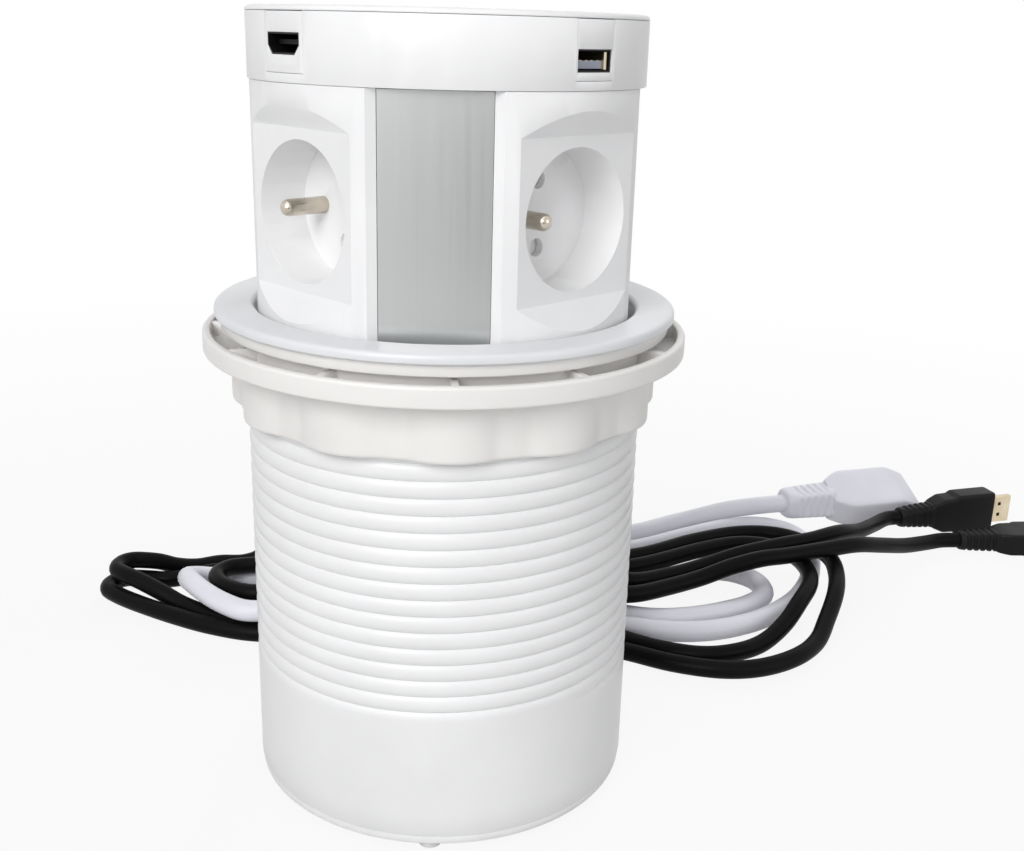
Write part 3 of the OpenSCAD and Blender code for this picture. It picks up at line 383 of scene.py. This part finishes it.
mains_place = (157, 201, 13.2, 17.5, 27)
x = np.concatenate([[0, 0.4, 1.2, 2.2, 3.4, 4.2], np.linspace(4.6, 23, 80), np.linspace(23.6, 26, 4)])
swell = np.interp(x, [0, 0.4, 1.2, 2.2, 26], [5.6, 6.4, 6.8, 6.95, 7.6])
relief = loft(x, swell, swell * 0.97, np.interp(x, [0, 4, 26], [2.6, 4, 5]), 72,
              dent=0.2 * notches(x, 7.2, 3.7, 5, 1.1))
x = np.array([24.4, 25.2, 27, 30, 33, 34.4, 35.4, 60.4, 61.4, 63, 66, 69, 72, 72.8, 73, 73, 62.2])
half = np.array([7.4, 8.1, 9.2, 11.0, 12.2, 12.42, 12.5, 12.5, 12.5, 12.5, 12.5, 12.5, 12.4, 12.2, 11.8, 10,
                 9.8])
low = -np.interp(x, [24.4, 25.2, 34, 72, 73], [7.2, 7.5, 8.2, 8.2, 7.9])
high = np.minimum(-low, 8.2 - 0.5 * np.clip(x - 61, 0, 12))
low[-2:], high[-2:] = -6.7, 0.9
grip = loft(x, half, (high - low) / 2, 10, 96, lift=(high + low) / 2)
relief_roll = -22
points, faces = joined((laid(relief[0], (0, 0, 0, 0, relief_roll)), relief[1]), grip)
mains_plug = mesh_piece("white_mains_connector", laid(points, mains_place), faces, white_jacket, 40)
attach(mains_plug, "housing")
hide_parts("mains_plug")
brass = surface("brass_contacts", (0.62, 0.46, 0.20), (0.74, 0.57, 0.28), 0.3, 0.8, 0.004, 8, 1.0)
dressed("mains_blades", brass)

# HDMI leads and their plugs. Two black jacketed leads are piled on the mains lead; each ends in a moulded
# plug with a ribbed relief, shoulders and a folded nose plated pale gold, with two square spring windows.


def rounded(corners, radii, steps=5):
    """A closed outline with round corners: near each corner the path follows the curve
    (1-t)^2 a + 2t(1-t) corner + t^2 b, where a and b lie a radius away along the two sides."""
    c = np.asarray(corners, float)
    before, after = np.roll(c, 1, 0) - c, np.roll(c, -1, 0) - c
    r = np.broadcast_to(np.asarray(radii, float), len(c))[:, None]
    a = c + before / np.linalg.norm(before, axis=1, keepdims=True) * r
    b = c + after / np.linalg.norm(after, axis=1, keepdims=True) * r
    t = np.linspace(0, 1, steps)[None, :, None]
    bend = (1 - t) ** 2 * a[:, None] + 2 * t * (1 - t) * c[:, None] + t**2 * b[:, None]
    return bend.reshape(-1, 2)


def carried(outline, stations):
    """An outline in Y and Z carried along X: each station is x and the amount by which the outline shrinks
    towards its middle, in millimetres. Flat faces close the two ends."""
    outline = np.asarray(outline)
    middle = outline.mean(0)
    reach = np.abs(outline - middle).max(0)
    x, inset = np.array(stations, float).T
    scale = 1 - inset[:, None, None] / reach[None, None, :]
    yz = middle + (outline - middle)[None] * scale
    points = np.concatenate([np.broadcast_to(x[:, None, None], (*yz.shape[:2], 1)), yz], -1).reshape(-1, 3)
    return points, capped_faces(len(x), len(outline))


def block(low, high):
    """A box from its lowest to its highest corner."""
    low, high = np.asarray(low, float), np.asarray(high, float)
    pick = np.array([[0, 0, 0], [1, 0, 0], [1, 1, 0], [0, 1, 0], [0, 0, 1], [1, 0, 1], [1, 1, 1], [0, 1, 1]])
    faces = [[0, 3, 2, 1], [4, 5, 6, 7], [0, 1, 5, 4], [1, 2, 6, 5], [2, 3, 7, 6], [3, 0, 4, 7]]
    return low + pick * (high - low), faces


black_jacket = surface("black_jacket", (0.003, 0.003, 0.003), (0.005, 0.005, 0.005), 0.4, 0.6, 0.02, 20,
                       gloss=0.06)
black_moulding = surface("black_moulding", (0.006, 0.006, 0.006), (0.01, 0.01, 0.01), 0.45, 0.3, 0.02, 20,
                         gloss=0.14)
gold = surface("pale_gold_plating", (0.66, 0.55, 0.38), (0.78, 0.68, 0.50), 0.3, 0.8, 0.003, 8, 1.0)
hdmi_routes = [[
    (24, 73.6, 16), (24, 82, 16), (24, 90.5, 17.4), (18, 100, 22), (4, 106, 24.8), (-22, 104, 24.4),
    (-46, 97, 19.5), (-60, 91.5, 16.8), (-72, 85.5, 14.2), (-82, 83.3, 13), (-91.5, 86.3, 12.8),
    (-98.6, 92.3, 12.8), (-101.8, 100.3, 12.8), (-98, 107.6, 12.8), (-89, 110.8, 12.8), (-75, 114.2, 13),
    (-59, 123.5, 13.2), (-40, 130, 13.2), (0, 129.5, 13.2), (38, 127, 13.2), (74, 129.5, 13.2),
    (106, 150, 13.2), (128, 160.5, 13.2), (146, 160.5, 13.2), (159, 150, 13.2), (165, 135, 13.2),
    (164, 118, 13.2), (160, 102, 11.5), (153, 86, 7), (146, 72, 4), (135, 59, 3.8), (120, 50, 3.8),
    (104, 47.5, 3.8), (86, 51.5, 3.8), (70, 59, 3.8), (53, 66, 3.8), (34, 70.7, 3.8), (-30, 71, 3.8),
    (-56, 68.3, 3.8), (-78, 66.3, 3.8), (-97, 71, 3.8), (-115, 79.2, 3.8), (-131, 88.2, 3.8),
    (-139.8, 93.8, 3.8), (-145.6, 98.2, 3.8), (-148.7, 101.4, 3.8), (-149.8, 105.5, 3.8),
    (-148.6, 109.6, 3.8), (-145.6, 112.6, 3.8), (-141.2, 113.7, 3.8), (-135, 113.4, 3.8), (-127, 113, 3.8),
    (-118, 116.9, 3.8), (-108, 122.9, 3.8), (-97.5, 124.6, 3.8), (-88.5, 129, 3.8), (-83.2, 138, 4.6),
    (-78.5, 147.8, 9), (-69, 151.8, 13), (-56, 147.5, 13.4), (-40, 140.5, 13.4), (-4, 138, 15),
    (22, 131, 20.4), (43, 116, 22.8), (57, 106, 19), (72, 102, 14.6), (90, 111, 13.4), (106, 119.5, 14.4),
    (123, 124.5, 18.4), (141, 129.5, 20.9), (156, 136.5, 21.1), (171, 147.5, 20.4), (185, 163.5, 15),
    (197, 181, 11), (206, 191.2, 10.3), (213, 194, 10.3)], [
    (0, 73.6, 16), (0, 84, 16), (2, 96, 16.3), (16, 107.5, 16.2), (42, 113, 14.6), (74, 119, 13.2),
    (108, 140, 13.2), (126, 148, 13.2), (140, 146, 13.2), (149, 136, 13.2), (152, 122, 13.2),
    (150, 107, 13.2), (143, 93, 11.5), (134, 80, 7), (123, 69, 3.9), (110, 61, 3.8), (96, 58.8, 3.8),
    (80, 63.5, 3.8), (64, 72, 3.8), (46, 78, 3.8), (28, 79.8, 3.8), (4, 80.2, 3.8), (-18, 80, 3.8),
    (-40, 79.4, 3.8), (-61, 76.5, 3.8), (-80, 74.6, 3.8), (-98, 79.8, 3.8), (-113, 87, 4.8),
    (-124, 91.7, 8.4), (-133, 95.6, 10.9), (-138.2, 98, 11.8), (-142.1, 100.6, 12), (-145, 103.6, 12),
    (-146, 107.6, 12), (-144.9, 111.6, 12), (-141.8, 114.6, 11.8), (-137.5, 116.2, 11.2),
    (-131.5, 118.6, 9.6), (-125, 121.9, 6.4), (-117.5, 126.6, 4.1), (-108.5, 131.7, 3.8),
    (-98.3, 133.2, 3.8), (-91.8, 139, 4.6), (-88, 147, 9.8), (-81, 149.2, 16.8), (-71, 141.5, 20.5),
    (-58, 129, 21.6), (-36, 121, 21.8), (-10, 116, 23), (12, 112.5, 24), (27, 107, 23.4), (38, 100, 20.4),
    (50, 93.5, 16.6), (61, 89.5, 14.4), (74, 91.5, 13.5), (88, 99, 13.4), (103, 107, 14.4), (117, 111, 18.4),
    (130, 114.5, 20.8), (143, 119, 20.9), (160, 126.4, 20.9), (176, 134.5, 20.2), (192, 148, 14.6),
    (207, 162, 8.8), (221, 173, 5.9), (229.5, 177, 5.7), (238, 178, 5.7)]]
hdmi_places = [(213, 194, 10.3, 17.5, 90), (238, 178, 5.7, 6.4, 0)]
nose_corners = [(-6.95, 2.2), (6.95, 2.2), (6.95, -0.2), (5.2, -2.2), (-5.2, -2.2), (-6.95, -0.2)]
nose_outline = rounded(nose_corners, 0.5, 4)
nose_stations = [(51.5, 0), (63.6, 0), (63.9, 0.12), (64, 0.3), (63.9, 0.5), (54, 0.5)]
nose_shapes, window_shapes, hdmi_plugs, hdmi_leads = [], [], [], []
for number, (route, place) in enumerate(zip(hdmi_routes, hdmi_places), 1):
    lead, length = laid_lead("black_hdmi_lead_%d" % number, route, 0.0072, black_jacket)
    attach(lead, "housing")
    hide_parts("hdmi_lead_%d" % number)
    x = np.concatenate([[0, 0.3, 0.9], np.linspace(1.2, 17.6, 64), [18.2, 19]])
    cut = notches(x, 3.6, 3.1, 5, 0.95)
    swell = np.interp(x, [0, 0.3, 0.9, 19], [4.1, 4.5, 4.7, 6.0])
    relief = loft(x, swell - 0.9 * cut, np.interp(x, [0, 0.3, 0.9, 19], [4.0, 4.3, 4.4, 4.7]) - 0.7 * cut,
                  np.interp(x, [0, 4, 19], [2.2, 3.5, 5]), 64)
    x = np.array([17.8, 18.3, 19.2, 21, 23.4, 24.4, 29.0, 29.6, 31.2, 31.8, 32.4, 51.0, 51.7, 52.0])
    grip = loft(x, [5.6, 6.1, 6.6, 7.4, 8.5, 8.7, 8.9, 9.0, 10.0, 10.2, 10.25, 10.25, 10.1, 9.8],
                [4.2, 4.6, 4.8, 5.1, 5.3, 5.35, 5.4, 5.4, 5.48, 5.5, 5.5, 5.5, 5.35, 5.05], 11, 96)
    points, faces = joined(relief, grip)
    plug = mesh_piece("black_hdmi_plug_%d" % number, laid(points, place), faces, black_moulding, 40)
    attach(plug, "housing")
    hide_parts("hdmi_plug_%d" % number)
    points, faces = carried(nose_outline, nose_stations)
    nose_shapes.append((laid(points, place), faces))
    for low, high in (((56.6, -3.7, 2.0), (58.3, -2.0, 2.23)), ((56.6, 2.0, 2.0), (58.3, 3.7, 2.23)),
                      ((54, -5.4, -0.6), (61.5, 5.4, 0.7))):
        points, faces = block(low, high)
        window_shapes.append((laid(points, place), faces))
    hdmi_plugs.append(plug)
    hdmi_leads.append((lead, length))
points, faces = joined(*nose_shapes)
noses = mesh_piece("gold_hdmi_noses", points, faces, gold, 50)
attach(noses, "housing")
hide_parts("hdmi_plug_shells")
points, faces = joined(*window_shapes)
windows = mesh_piece("nose_windows", points, faces, black_moulding)
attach(windows, "housing")

# Outer tube. One white moulding: a right-handed thread of rounded ridges runs out near the foot, a lip inside
# holds the tower, and a flat pad behind takes the three glands.


def ring_shape(profile, around=192, swell=None):
    """A closed profile of radius and height turned about Z: x = r cos a, y = r sin a. Swell, if given, is a
    table of profile points by angles that is added to the radius."""
    profile = np.asarray(profile, float)
    a = np.linspace(0, 2 * np.pi, around, endpoint=False)[None, :]
    r = profile[:, :1] + (0 if swell is None else swell)
    r = np.broadcast_to(r, (len(profile), around))
    z = np.broadcast_to(profile[:, 1:], r.shape)
    points = np.stack([r * np.cos(a), r * np.sin(a), z], -1).reshape(-1, 3)
    return points, grid_faces(len(profile), around, closed_rows=True)


def threaded_wall(radius, low, high, start, thread_pitch, depth, first_turn, around=192):
    """Outer wall whose rows follow the thread: row height is h + pitch * angle / turn, clipped to the wall.
    At distance d from a groove's middle the radius drops by
    depth * (0.75 (1 - 2d/pitch)^2.2 + 0.25 exp(-(d/0.3)^2)), and the first groove deepens over a tenth of
    a turn."""
    offsets = np.array([0, 0.15, 0.34, 0.62, 1.0, 1.5, 2.05, 2.55, 3.05, 3.6, 4.1, 4.48, 4.76, 4.95])
    groove = start + thread_pitch / 4
    first, last = math.floor((low - groove) / thread_pitch) - 1, math.ceil((high - groove) / thread_pitch) + 1
    turns = np.arange(first, last)
    h = (groove + thread_pitch * turns[:, None] + offsets[None, :] * thread_pitch / 5.1).ravel()[:, None]
    a = np.linspace(0, 2 * np.pi, around, endpoint=False)[None, :]
    z = np.clip(h + thread_pitch * a / (2 * np.pi), low, high)
    phase = (h - groove) / thread_pitch
    d = np.abs(phase - np.round(phase)) * thread_pitch
    shape = 0.75 * (1 - 2 * d / thread_pitch) ** 2.2 + 0.25 * np.exp(-((d / 0.3) ** 2))
    along = np.round(phase) + 0.25 + a / (2 * np.pi)
    grown = np.clip((along - first_turn) / 0.1, 0, 1) * ((z > low) & (z < high))
    r = radius - depth * shape * grown * grown * (3 - 2 * grown)
    points = np.stack([r * np.cos(a), r * np.sin(a), z], -1).reshape(-1, 3)
    i, j = np.meshgrid(np.arange(len(h) - 1), np.arange(around - 1), indexing="ij")
    q = np.stack([i * around + j, i * around + j + 1, (i + 1) * around + j + 1, (i + 1) * around + j], -1)
    n = len(offsets)
    k = np.arange(len(h) - 1 - n)
    seam = np.stack([k * around + around - 1, (k + n) * around, (k + n + 1) * around,
                     (k + 1) * around + around - 1], -1)
    return points, q.reshape(-1, 4).tolist() + seam.tolist()


def open_ring(profile, around=192):
    """An open profile of radius and height turned about Z."""
    points, _ = ring_shape(profile, around)
    return points, grid_faces(len(profile), around)


def upright(outline, low, high, soft=0.6):
    """A closed outline in X and Y raised from low to high, with its two rims drawn in by a soft edge."""
    outline = np.asarray(outline, float)
    middle = outline.mean(0)
    drawn = outline + (middle - outline) / np.linalg.norm(middle - outline, axis=1, keepdims=True) * soft
    levels = [(drawn, low), (outline, low + soft), (outline, high - soft), (drawn, high)]
    points = np.vstack([np.column_stack([o, np.full(len(o), z)]) for o, z in levels])
    return points, capped_faces(len(levels), len(outline))


white_plastic = surface("white_moulding", (0.80, 0.80, 0.805), (0.845, 0.845, 0.85), 0.4)
tube_r, bore_r, lip_r = 61, 58.9, 58.1
thread_low, thread_high, thread_start, thread_first_turn = 40.4, 152.6, 46.2, -0.889
pitch_mm, thread_depth = 5.1, 1.0
wall = threaded_wall(tube_r, thread_low, thread_high, thread_start, pitch_mm, thread_depth, thread_first_turn)
inside = open_ring([(tube_r, thread_high), (tube_r, 153), (lip_r, 153), (lip_r, 118.6), (58.4, 118.3),
                    (bore_r, 118.3), (bore_r, 4.5), (60.4, 4.5), (60.8, 4.62), (tube_r, 5.0), (tube_r, 12),
                    (tube_r, 24), (tube_r, 36), (tube_r, thread_low)])
pad_r, pad_back, pad_low, pad_high = 60.2, 64.0, 6, 27
sweep = np.radians(np.linspace(141, 39, 30))[::-1]
pad = upright(np.vstack([np.column_stack([np.linspace(-38, 38, 12), np.full(12, pad_back)]),
                         np.column_stack([pad_r * np.cos(sweep), pad_r * np.sin(sweep)])]), pad_low, pad_high)
key_x = 57.9
keys = [block((s * key_x - 1.1, -3, 12.5), (s * key_x + 1.1, 3, 118.2)) for s in (-1, 1)]
posts, post_reach = [], 53.9
for angle in (30, 150, 210, 330):
    ring_points, ring_faces = ring_shape([(1.6, 8.6), (5.6, 8.6), (5.6, 20), (1.6, 20)], 32)
    c, s = math.cos(math.radians(angle)), math.sin(math.radians(angle))
    posts.append((ring_points + np.array([post_reach * c, post_reach * s, 0]), ring_faces))
points, faces = joined(wall, inside, pad, *keys, *posts)
tube = mesh_piece("threaded_tube", points, faces, white_plastic, 32)
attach(tube, "housing")
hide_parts("outer_tube")

# Flange. A cool white moulding on top of the tube that rests on the desk and hides the edge of the hole; its
# rim is rolled over and its mouth is eased so that the tower slides in freely.
# The flange's colour is its cool white made about a tenth darker: painted shade.
cool_white_painted_shade = surface("flange_moulding_painted_shade", (0.70, 0.71, 0.73), (0.745, 0.755, 0.775), 0.36)
corners = [(lip_r, 153.0), (70, 153.0), (70, 156), (59.0, 156), (lip_r, 155.0)]
profile = rounded(corners, [0.1, 0.8, 1.7, 0.6, 0.5], 7)
points, faces = ring_shape(profile, 256)
flange = mesh_piece("rolled_flange", points, faces, cool_white_painted_shade, 40)
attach(flange, "housing")
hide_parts("flange_ring")

# Closing plate, its screws and feet, and the glands. The plate is screwed up into the tube's posts, rubber
# feet are glued under it, and the leads leave through tapered strain reliefs in the pad.


def softened(name, material, edge=0.25):
    """Give a solid its material and break its sharp edges: weld, merge flat faces and bevel by a width in
    millimetres."""
    piece = dressed(name, material)
    weld = piece.modifiers.new("weld", "WELD")
    weld.merge_threshold = 1e-6
    flat = piece.modifiers.new("flat", "DECIMATE")
    flat.decimate_type = "DISSOLVE"
    flat.angle_limit = math.radians(1)
    bevel = piece.modifiers.new("edge", "BEVEL")
    bevel.width = edge / 1000
    bevel.segments = 2
    bevel.limit_method = "ANGLE"
    bevel.angle_limit = math.radians(35)
    bevel.harden_normals = True
    bevel.use_clamp_overlap = True
    return piece


rubber = surface("foot_rubber", (0.62, 0.62, 0.61), (0.72, 0.72, 0.71), 0.7, 0.25, 0.03, 12)
steel = surface("plain_steel", (0.46, 0.46, 0.46), (0.58, 0.58, 0.58), 0.34, 0.5, 0.004, 6, 1.0)
softened("bottom_cap", white_plastic, 0.4)
dressed("bottom_screws", steel)
dressed("feet", rubber)
dressed("mains_gland", white_jacket)
dressed("hdmi_glands", black_moulding)

# Push latch, lift spring and inner leads, inside the tube. The latch stands on the closing plate; the spring
# lifts the tower; the leads rise from the glands through its base.


def wound_tube(centre, side, lift, radius, around=12):
    """A tube along a line of centres: each ring is centre + radius * (cos a * side + sin a * lift)."""
    a = np.linspace(0, 2 * np.pi, around, endpoint=False)[None, :, None]
    points = centre[:, None] + radius * (np.cos(a) * side[:, None] + np.sin(a) * lift[:, None])
    return points.reshape(-1, 3), capped_faces(len(centre), around)


inner_jacket = surface("inner_jacket", (0.58, 0.58, 0.58), (0.68, 0.68, 0.68), 0.5, 0.6, 0.02, 20)
softened("latch_body", black_moulding)
dressed("latch_plunger", steel)
coils, coil_r, wire_r, coil_low, coil_height = 6, 14, 1.28, 10.0, 102.5
turn = np.linspace(0, 2 * coils * np.pi, 241)
radial = np.column_stack([np.cos(turn), np.sin(turn), np.zeros_like(turn)])
rise = np.column_stack([np.zeros((len(turn), 2)), coil_low + coil_height * turn / turn[-1]])
points, faces = wound_tube(coil_r * radial + rise, radial, np.tile([0.0, 0, 1], (len(turn), 1)), wire_r)
coil = mesh_piece("coil_spring", points, faces, steel, 60)
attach(coil, "housing")
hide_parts("lift_spring")
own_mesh(coil)
risers = []
for gland_x, hole_x, radius in ((-24, -14, 4.3), (0, 0, 3.6), (24, 14, 3.6)):
    route = [(gland_x, 51.9, 16), (gland_x, 48, 16), (gland_x, 44, 16), ((gland_x + hole_x) / 2, 34, 26),
             (hole_x, 28, 44), (hole_x, 28, 80), (hole_x, 28, 130)]
    centre = lead_path(route, 6) * 1000
    along = np.gradient(centre, axis=0)
    lift = np.cross(along, (1, 0, 0))
    lift /= np.linalg.norm(lift, axis=1, keepdims=True)
    side = np.cross(lift, along)
    side /= np.linalg.norm(side, axis=1, keepdims=True)
    risers.append(wound_tube(centre, side, lift, radius, 16))
points, faces = joined(*risers)
inner_leads = mesh_piece("rising_leads", points, faces, inner_jacket, 50)
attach(inner_leads, "housing")
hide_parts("inner_leads")
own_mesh(inner_leads)

# Slip washer and lock nut. Two warm white mouldings: the washer only slides, and the nut, a lobed skirt with
# a flat web and a rim on ribs, turns on the thread to clamp the desk.
warm_plastic = surface("nut_moulding", (0.79, 0.775, 0.755), (0.835, 0.82, 0.80), 0.42)
points, faces = ring_shape(rounded([(61.4, 149.4), (68.2, 149.4), (68.2, 152.9), (61.4, 152.9)], 0.5, 5), 256)
washer = mesh_piece("slip_ring", points, faces, warm_plastic, 40)
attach(washer, "washer")
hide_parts("slip_washer")

skirt_r, collar_r = 64.3, 63.4
corners = [(61.4, 124.3), (skirt_r, 124.3), (skirt_r, 142.2), (73.7, 142.2), (73.7, 148.4), (71.3, 148.4),
           (71.3, 143.8), (collar_r, 143.8), (collar_r, 149.3), (61.4, 149.3)]
profile = rounded(corners, [0.3, 1.7, 0.9, 0.9, 1.1, 0.7, 0.5, 0.5, 0.5, 0.4], 7)
grip_rows = np.clip((66.5 - profile[:, 0]) / 1.5, 0, 1) * ((profile[:, 1] < 143) & (profile[:, 0] > 62.3))
lobe_turn, lobe_step, lobe_reach, lobe_r, valley_r, blend = 5.5, 30, 46.1, 20, 63.4, 0.22
angle = np.linspace(0, 360, 384, endpoint=False)
off = np.radians((angle + 90 - lobe_turn + lobe_step / 2) % lobe_step - lobe_step / 2)
lobe = lobe_reach * np.cos(off) + np.sqrt(lobe_r**2 - (lobe_reach * np.sin(off)) ** 2)
lobed = valley_r + np.logaddexp(0, (lobe - valley_r) / blend) * blend
points, faces = ring_shape(profile, len(angle), grip_rows[:, None] * (lobed[None, :] - skirt_r))
ribs = []
rib_outline = rounded([(62.6, 142.6), (72.6, 142.6), (72.6, 148.0), (62.6, 148.3)], [0.2, 0.2, 0.3, 0.3], 3)
middle = rib_outline.mean(0)
half = np.array([-1.1, -0.85, 0.85, 1.1])
inset = np.array([0.25, 0, 0, 0.25])
rz = middle + (rib_outline - middle)[None] * (1 - inset[:, None, None] / np.array([5, 2.85]))
for turn in lobe_turn - 90 + lobe_step * np.arange(12):
    c, s = math.cos(math.radians(turn)), math.sin(math.radians(turn))
    bar = np.stack([rz[..., 0] * c - half[:, None] * s, rz[..., 0] * s + half[:, None] * c, rz[..., 1]], -1)
    ribs.append((bar.reshape(-1, 3), capped_faces(len(half), len(rib_outline))))
points, faces = joined((points, faces), *ribs)
nut = mesh_piece("lobed_nut", points, faces, warm_plastic, 40)
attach(nut, "nut")
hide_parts("lock_nut")

# Tower base, strike plate and tie rods. The white base disc runs in the tube's bore, a steel strike under it
# meets the latch, and steel rods clamp base, panels and port ring together.
softened("tower_base", white_plastic, 0.4)
dressed("strike_plate", steel)
dressed("tie_rods", steel)

# Socket panels. Four white mouldings, each a quarter of the tower's wall with a flat cut into it, two sloping
# arcs above and below, and a deep round recess; shutters, carriers and brass contacts sit behind.


def side_axes(angle):
    """Unit vectors out of the tower and to the right along its wall, at an angle from the front strip."""
    c, s = math.cos(math.radians(angle)), math.sin(math.radians(angle))
    return np.array([s, -c, 0]), np.array([c, s, 0])


upward = np.array([0, 0, 1])
socket_z = 186.3
socket_sides = {"front_right": 45, "rear_right": 135, "rear_left": 225, "front_left": 315}
carrier = surface("contact_carrier", (0.72, 0.70, 0.62), (0.79, 0.77, 0.70), 0.5)
for side in socket_sides:
    softened("socket_panel_" + side, white_plastic, 0.22)
    dressed("shutter_" + side, white_plastic)
    dressed("contact_carrier_" + side, carrier)
leaf = np.array([(13.4, -9), (13.4, 9), (13.0, 9), (4.5, 0.2), (4.1, 0), (4.5, -0.2), (13.0, -9)])
leaf_root, leaf_inner, leaf_outer, leaf_middle = 13.4, 33.6, 35.0, 34.3
for name, angle in socket_sides.items():
    outward, across = side_axes(angle)
    flat = leaf[:, :1] * across + (leaf[:, 1:] + socket_z) * upward
    points = np.vstack([flat + leaf_inner * outward, flat + leaf_outer * outward])
    piece = mesh_piece("shutter_leaf_" + name, points, capped_faces(2, len(leaf)), steel)
    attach(piece, "tower")
    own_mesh(piece)
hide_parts("shutter_springs")
for name in ("live_clips", "neutral_clips", "live_bus", "neutral_bus", "earth_bus"):
    dressed(name, brass)

# Earth pins. Each is turned from brass and nickel plated, with a domed tip; its thinner tail goes through the
# carrier to the earth ring.
nickel = surface("nickel_plating", (0.50, 0.45, 0.37), (0.64, 0.58, 0.49), 0.2, 0.5, 0.004, 5, 1.0)
dome = np.radians(np.linspace(0, 88, 12))
length = np.concatenate([[20.1, 20.1, 37.9, 38.0, 38.1], 50.1 + 2.4 * np.sin(dome), [52.5]])
radius = np.concatenate([[0.02, 2.1, 2.1, 2.35, 2.4], 2.4 * np.cos(dome), [0.02]])
pin_offset, pin_around = -10, 48
turn = np.linspace(0, 2 * np.pi, pin_around, endpoint=False)[None, :]
pins = []
for angle in socket_sides.values():
    outward, across = side_axes(angle)
    middle = pin_offset * across + socket_z * upward
    body = (middle + length[:, None, None] * outward + (radius[:, None] * np.cos(turn))[..., None] * across
            + (radius[:, None] * np.sin(turn))[..., None] * upward)
    pins.append((body.reshape(-1, 3), capped_faces(len(length), pin_around)))
points, faces = joined(*pins)
earth = mesh_piece("nickel_earth_pins", points, faces, nickel, 40)
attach(earth, "tower")
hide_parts("earth_pins")

# Trim strips. Anodised aluminium, cut from a flat bar and brushed along its length; each slides into the
# channel between two panels before the port ring closes it.
anodised = surface("brushed_anodised", (0.575, 0.585, 0.58), (0.59, 0.60, 0.595), 0.30, 1 / 6, 0.004, 10 / 9,
                   metal=1.0, spread=0.01, strength=0.2, stretch=(1, 1, 0.02))
for side in ("front", "right", "rear", "left"):
    softened("trim_strip_" + side, anodised, 0.2)

# Port ring, lid, inserts and ports. The ring clamps the panels and carries the board; each insert is dropped
# into a slot of its wall before the lid snaps on.
plated_black = surface("black_plating", (0.012, 0.012, 0.012), (0.022, 0.022, 0.022), 0.35, 0.4, 0.004, 8,
                       0.6)
usb_plastic = surface("usb_tongue_plastic", (0.30, 0.33, 0.40), (0.38, 0.42, 0.50), 0.45, 0.3, 0.01, 6)
solder_mask = surface("solder_mask", (0.03, 0.20, 0.08), (0.05, 0.28, 0.12), 0.4, 0.5, 0.01, 10)
softened("port_ring", white_plastic, 0.08)
softened("top_lid", white_plastic, 0.2)
for name in ("hdmi_insert_front", "hdmi_insert_rear", "usb_insert_front", "usb_insert_rear"):
    softened(name, white_plastic, 0.06)
dressed("hdmi_shells", plated_black)
dressed("hdmi_tongues", black_moulding)
dressed("usb_shells", plated_black)
dressed("usb_tongues", usb_plastic)
dressed("port_board", solder_mask)
dressed("usb_power_module", black_moulding)
springs = []
for angle in (45, 225):
    outward, across = side_axes(angle)
    for low, high in (((4.5, 46, 225.8), (5.5, 56.2, 230.2)), ((-3.9, 47, 228.0), (-2.9, 55, 228.12)),
                      ((-1.5, 47, 228.0), (-0.5, 55, 228.12)), ((0.5, 47, 228.0), (1.5, 55, 228.12)),
                      ((2.9, 47, 228.0), (3.9, 55, 228.12))):
        points, faces = block(low, high)
        points = points[:, :1] * across + points[:, 1:2] * outward + points[:, 2:] * upward
        springs.append((points, faces))
points, faces = joined(*springs)
contacts = mesh_piece("usb_contacts", points, faces, gold)
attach(contacts, "tower")

lips, port_z, port_half, port_high, port_bevel = [], 230.3, 7.05, 2.8, 1.9
for angle in (135, 315):
    outward, across = side_axes(angle)
    loops = []
    for inset, reach in ((0.03, 56.2), (0.03, 57.15), (0.4, 57.15), (0.4, 56.2)):
        half, high = port_half - inset, port_high - inset
        outline = np.array([(-half, high), (half, high), (half, -0.4), (half - port_bevel, -high),
                            (port_bevel - half, -high), (-half, -0.4)])
        loops.append(outline[:, :1] * across + reach * outward + (outline[:, 1:] + port_z) * upward)
    lips.append((np.vstack(loops), grid_faces(4, 6, closed_rows=True)))
points, faces = joined(*lips)
port_lips = mesh_piece("hdmi_port_lips", points, faces, plated_black)
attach(port_lips, "tower")
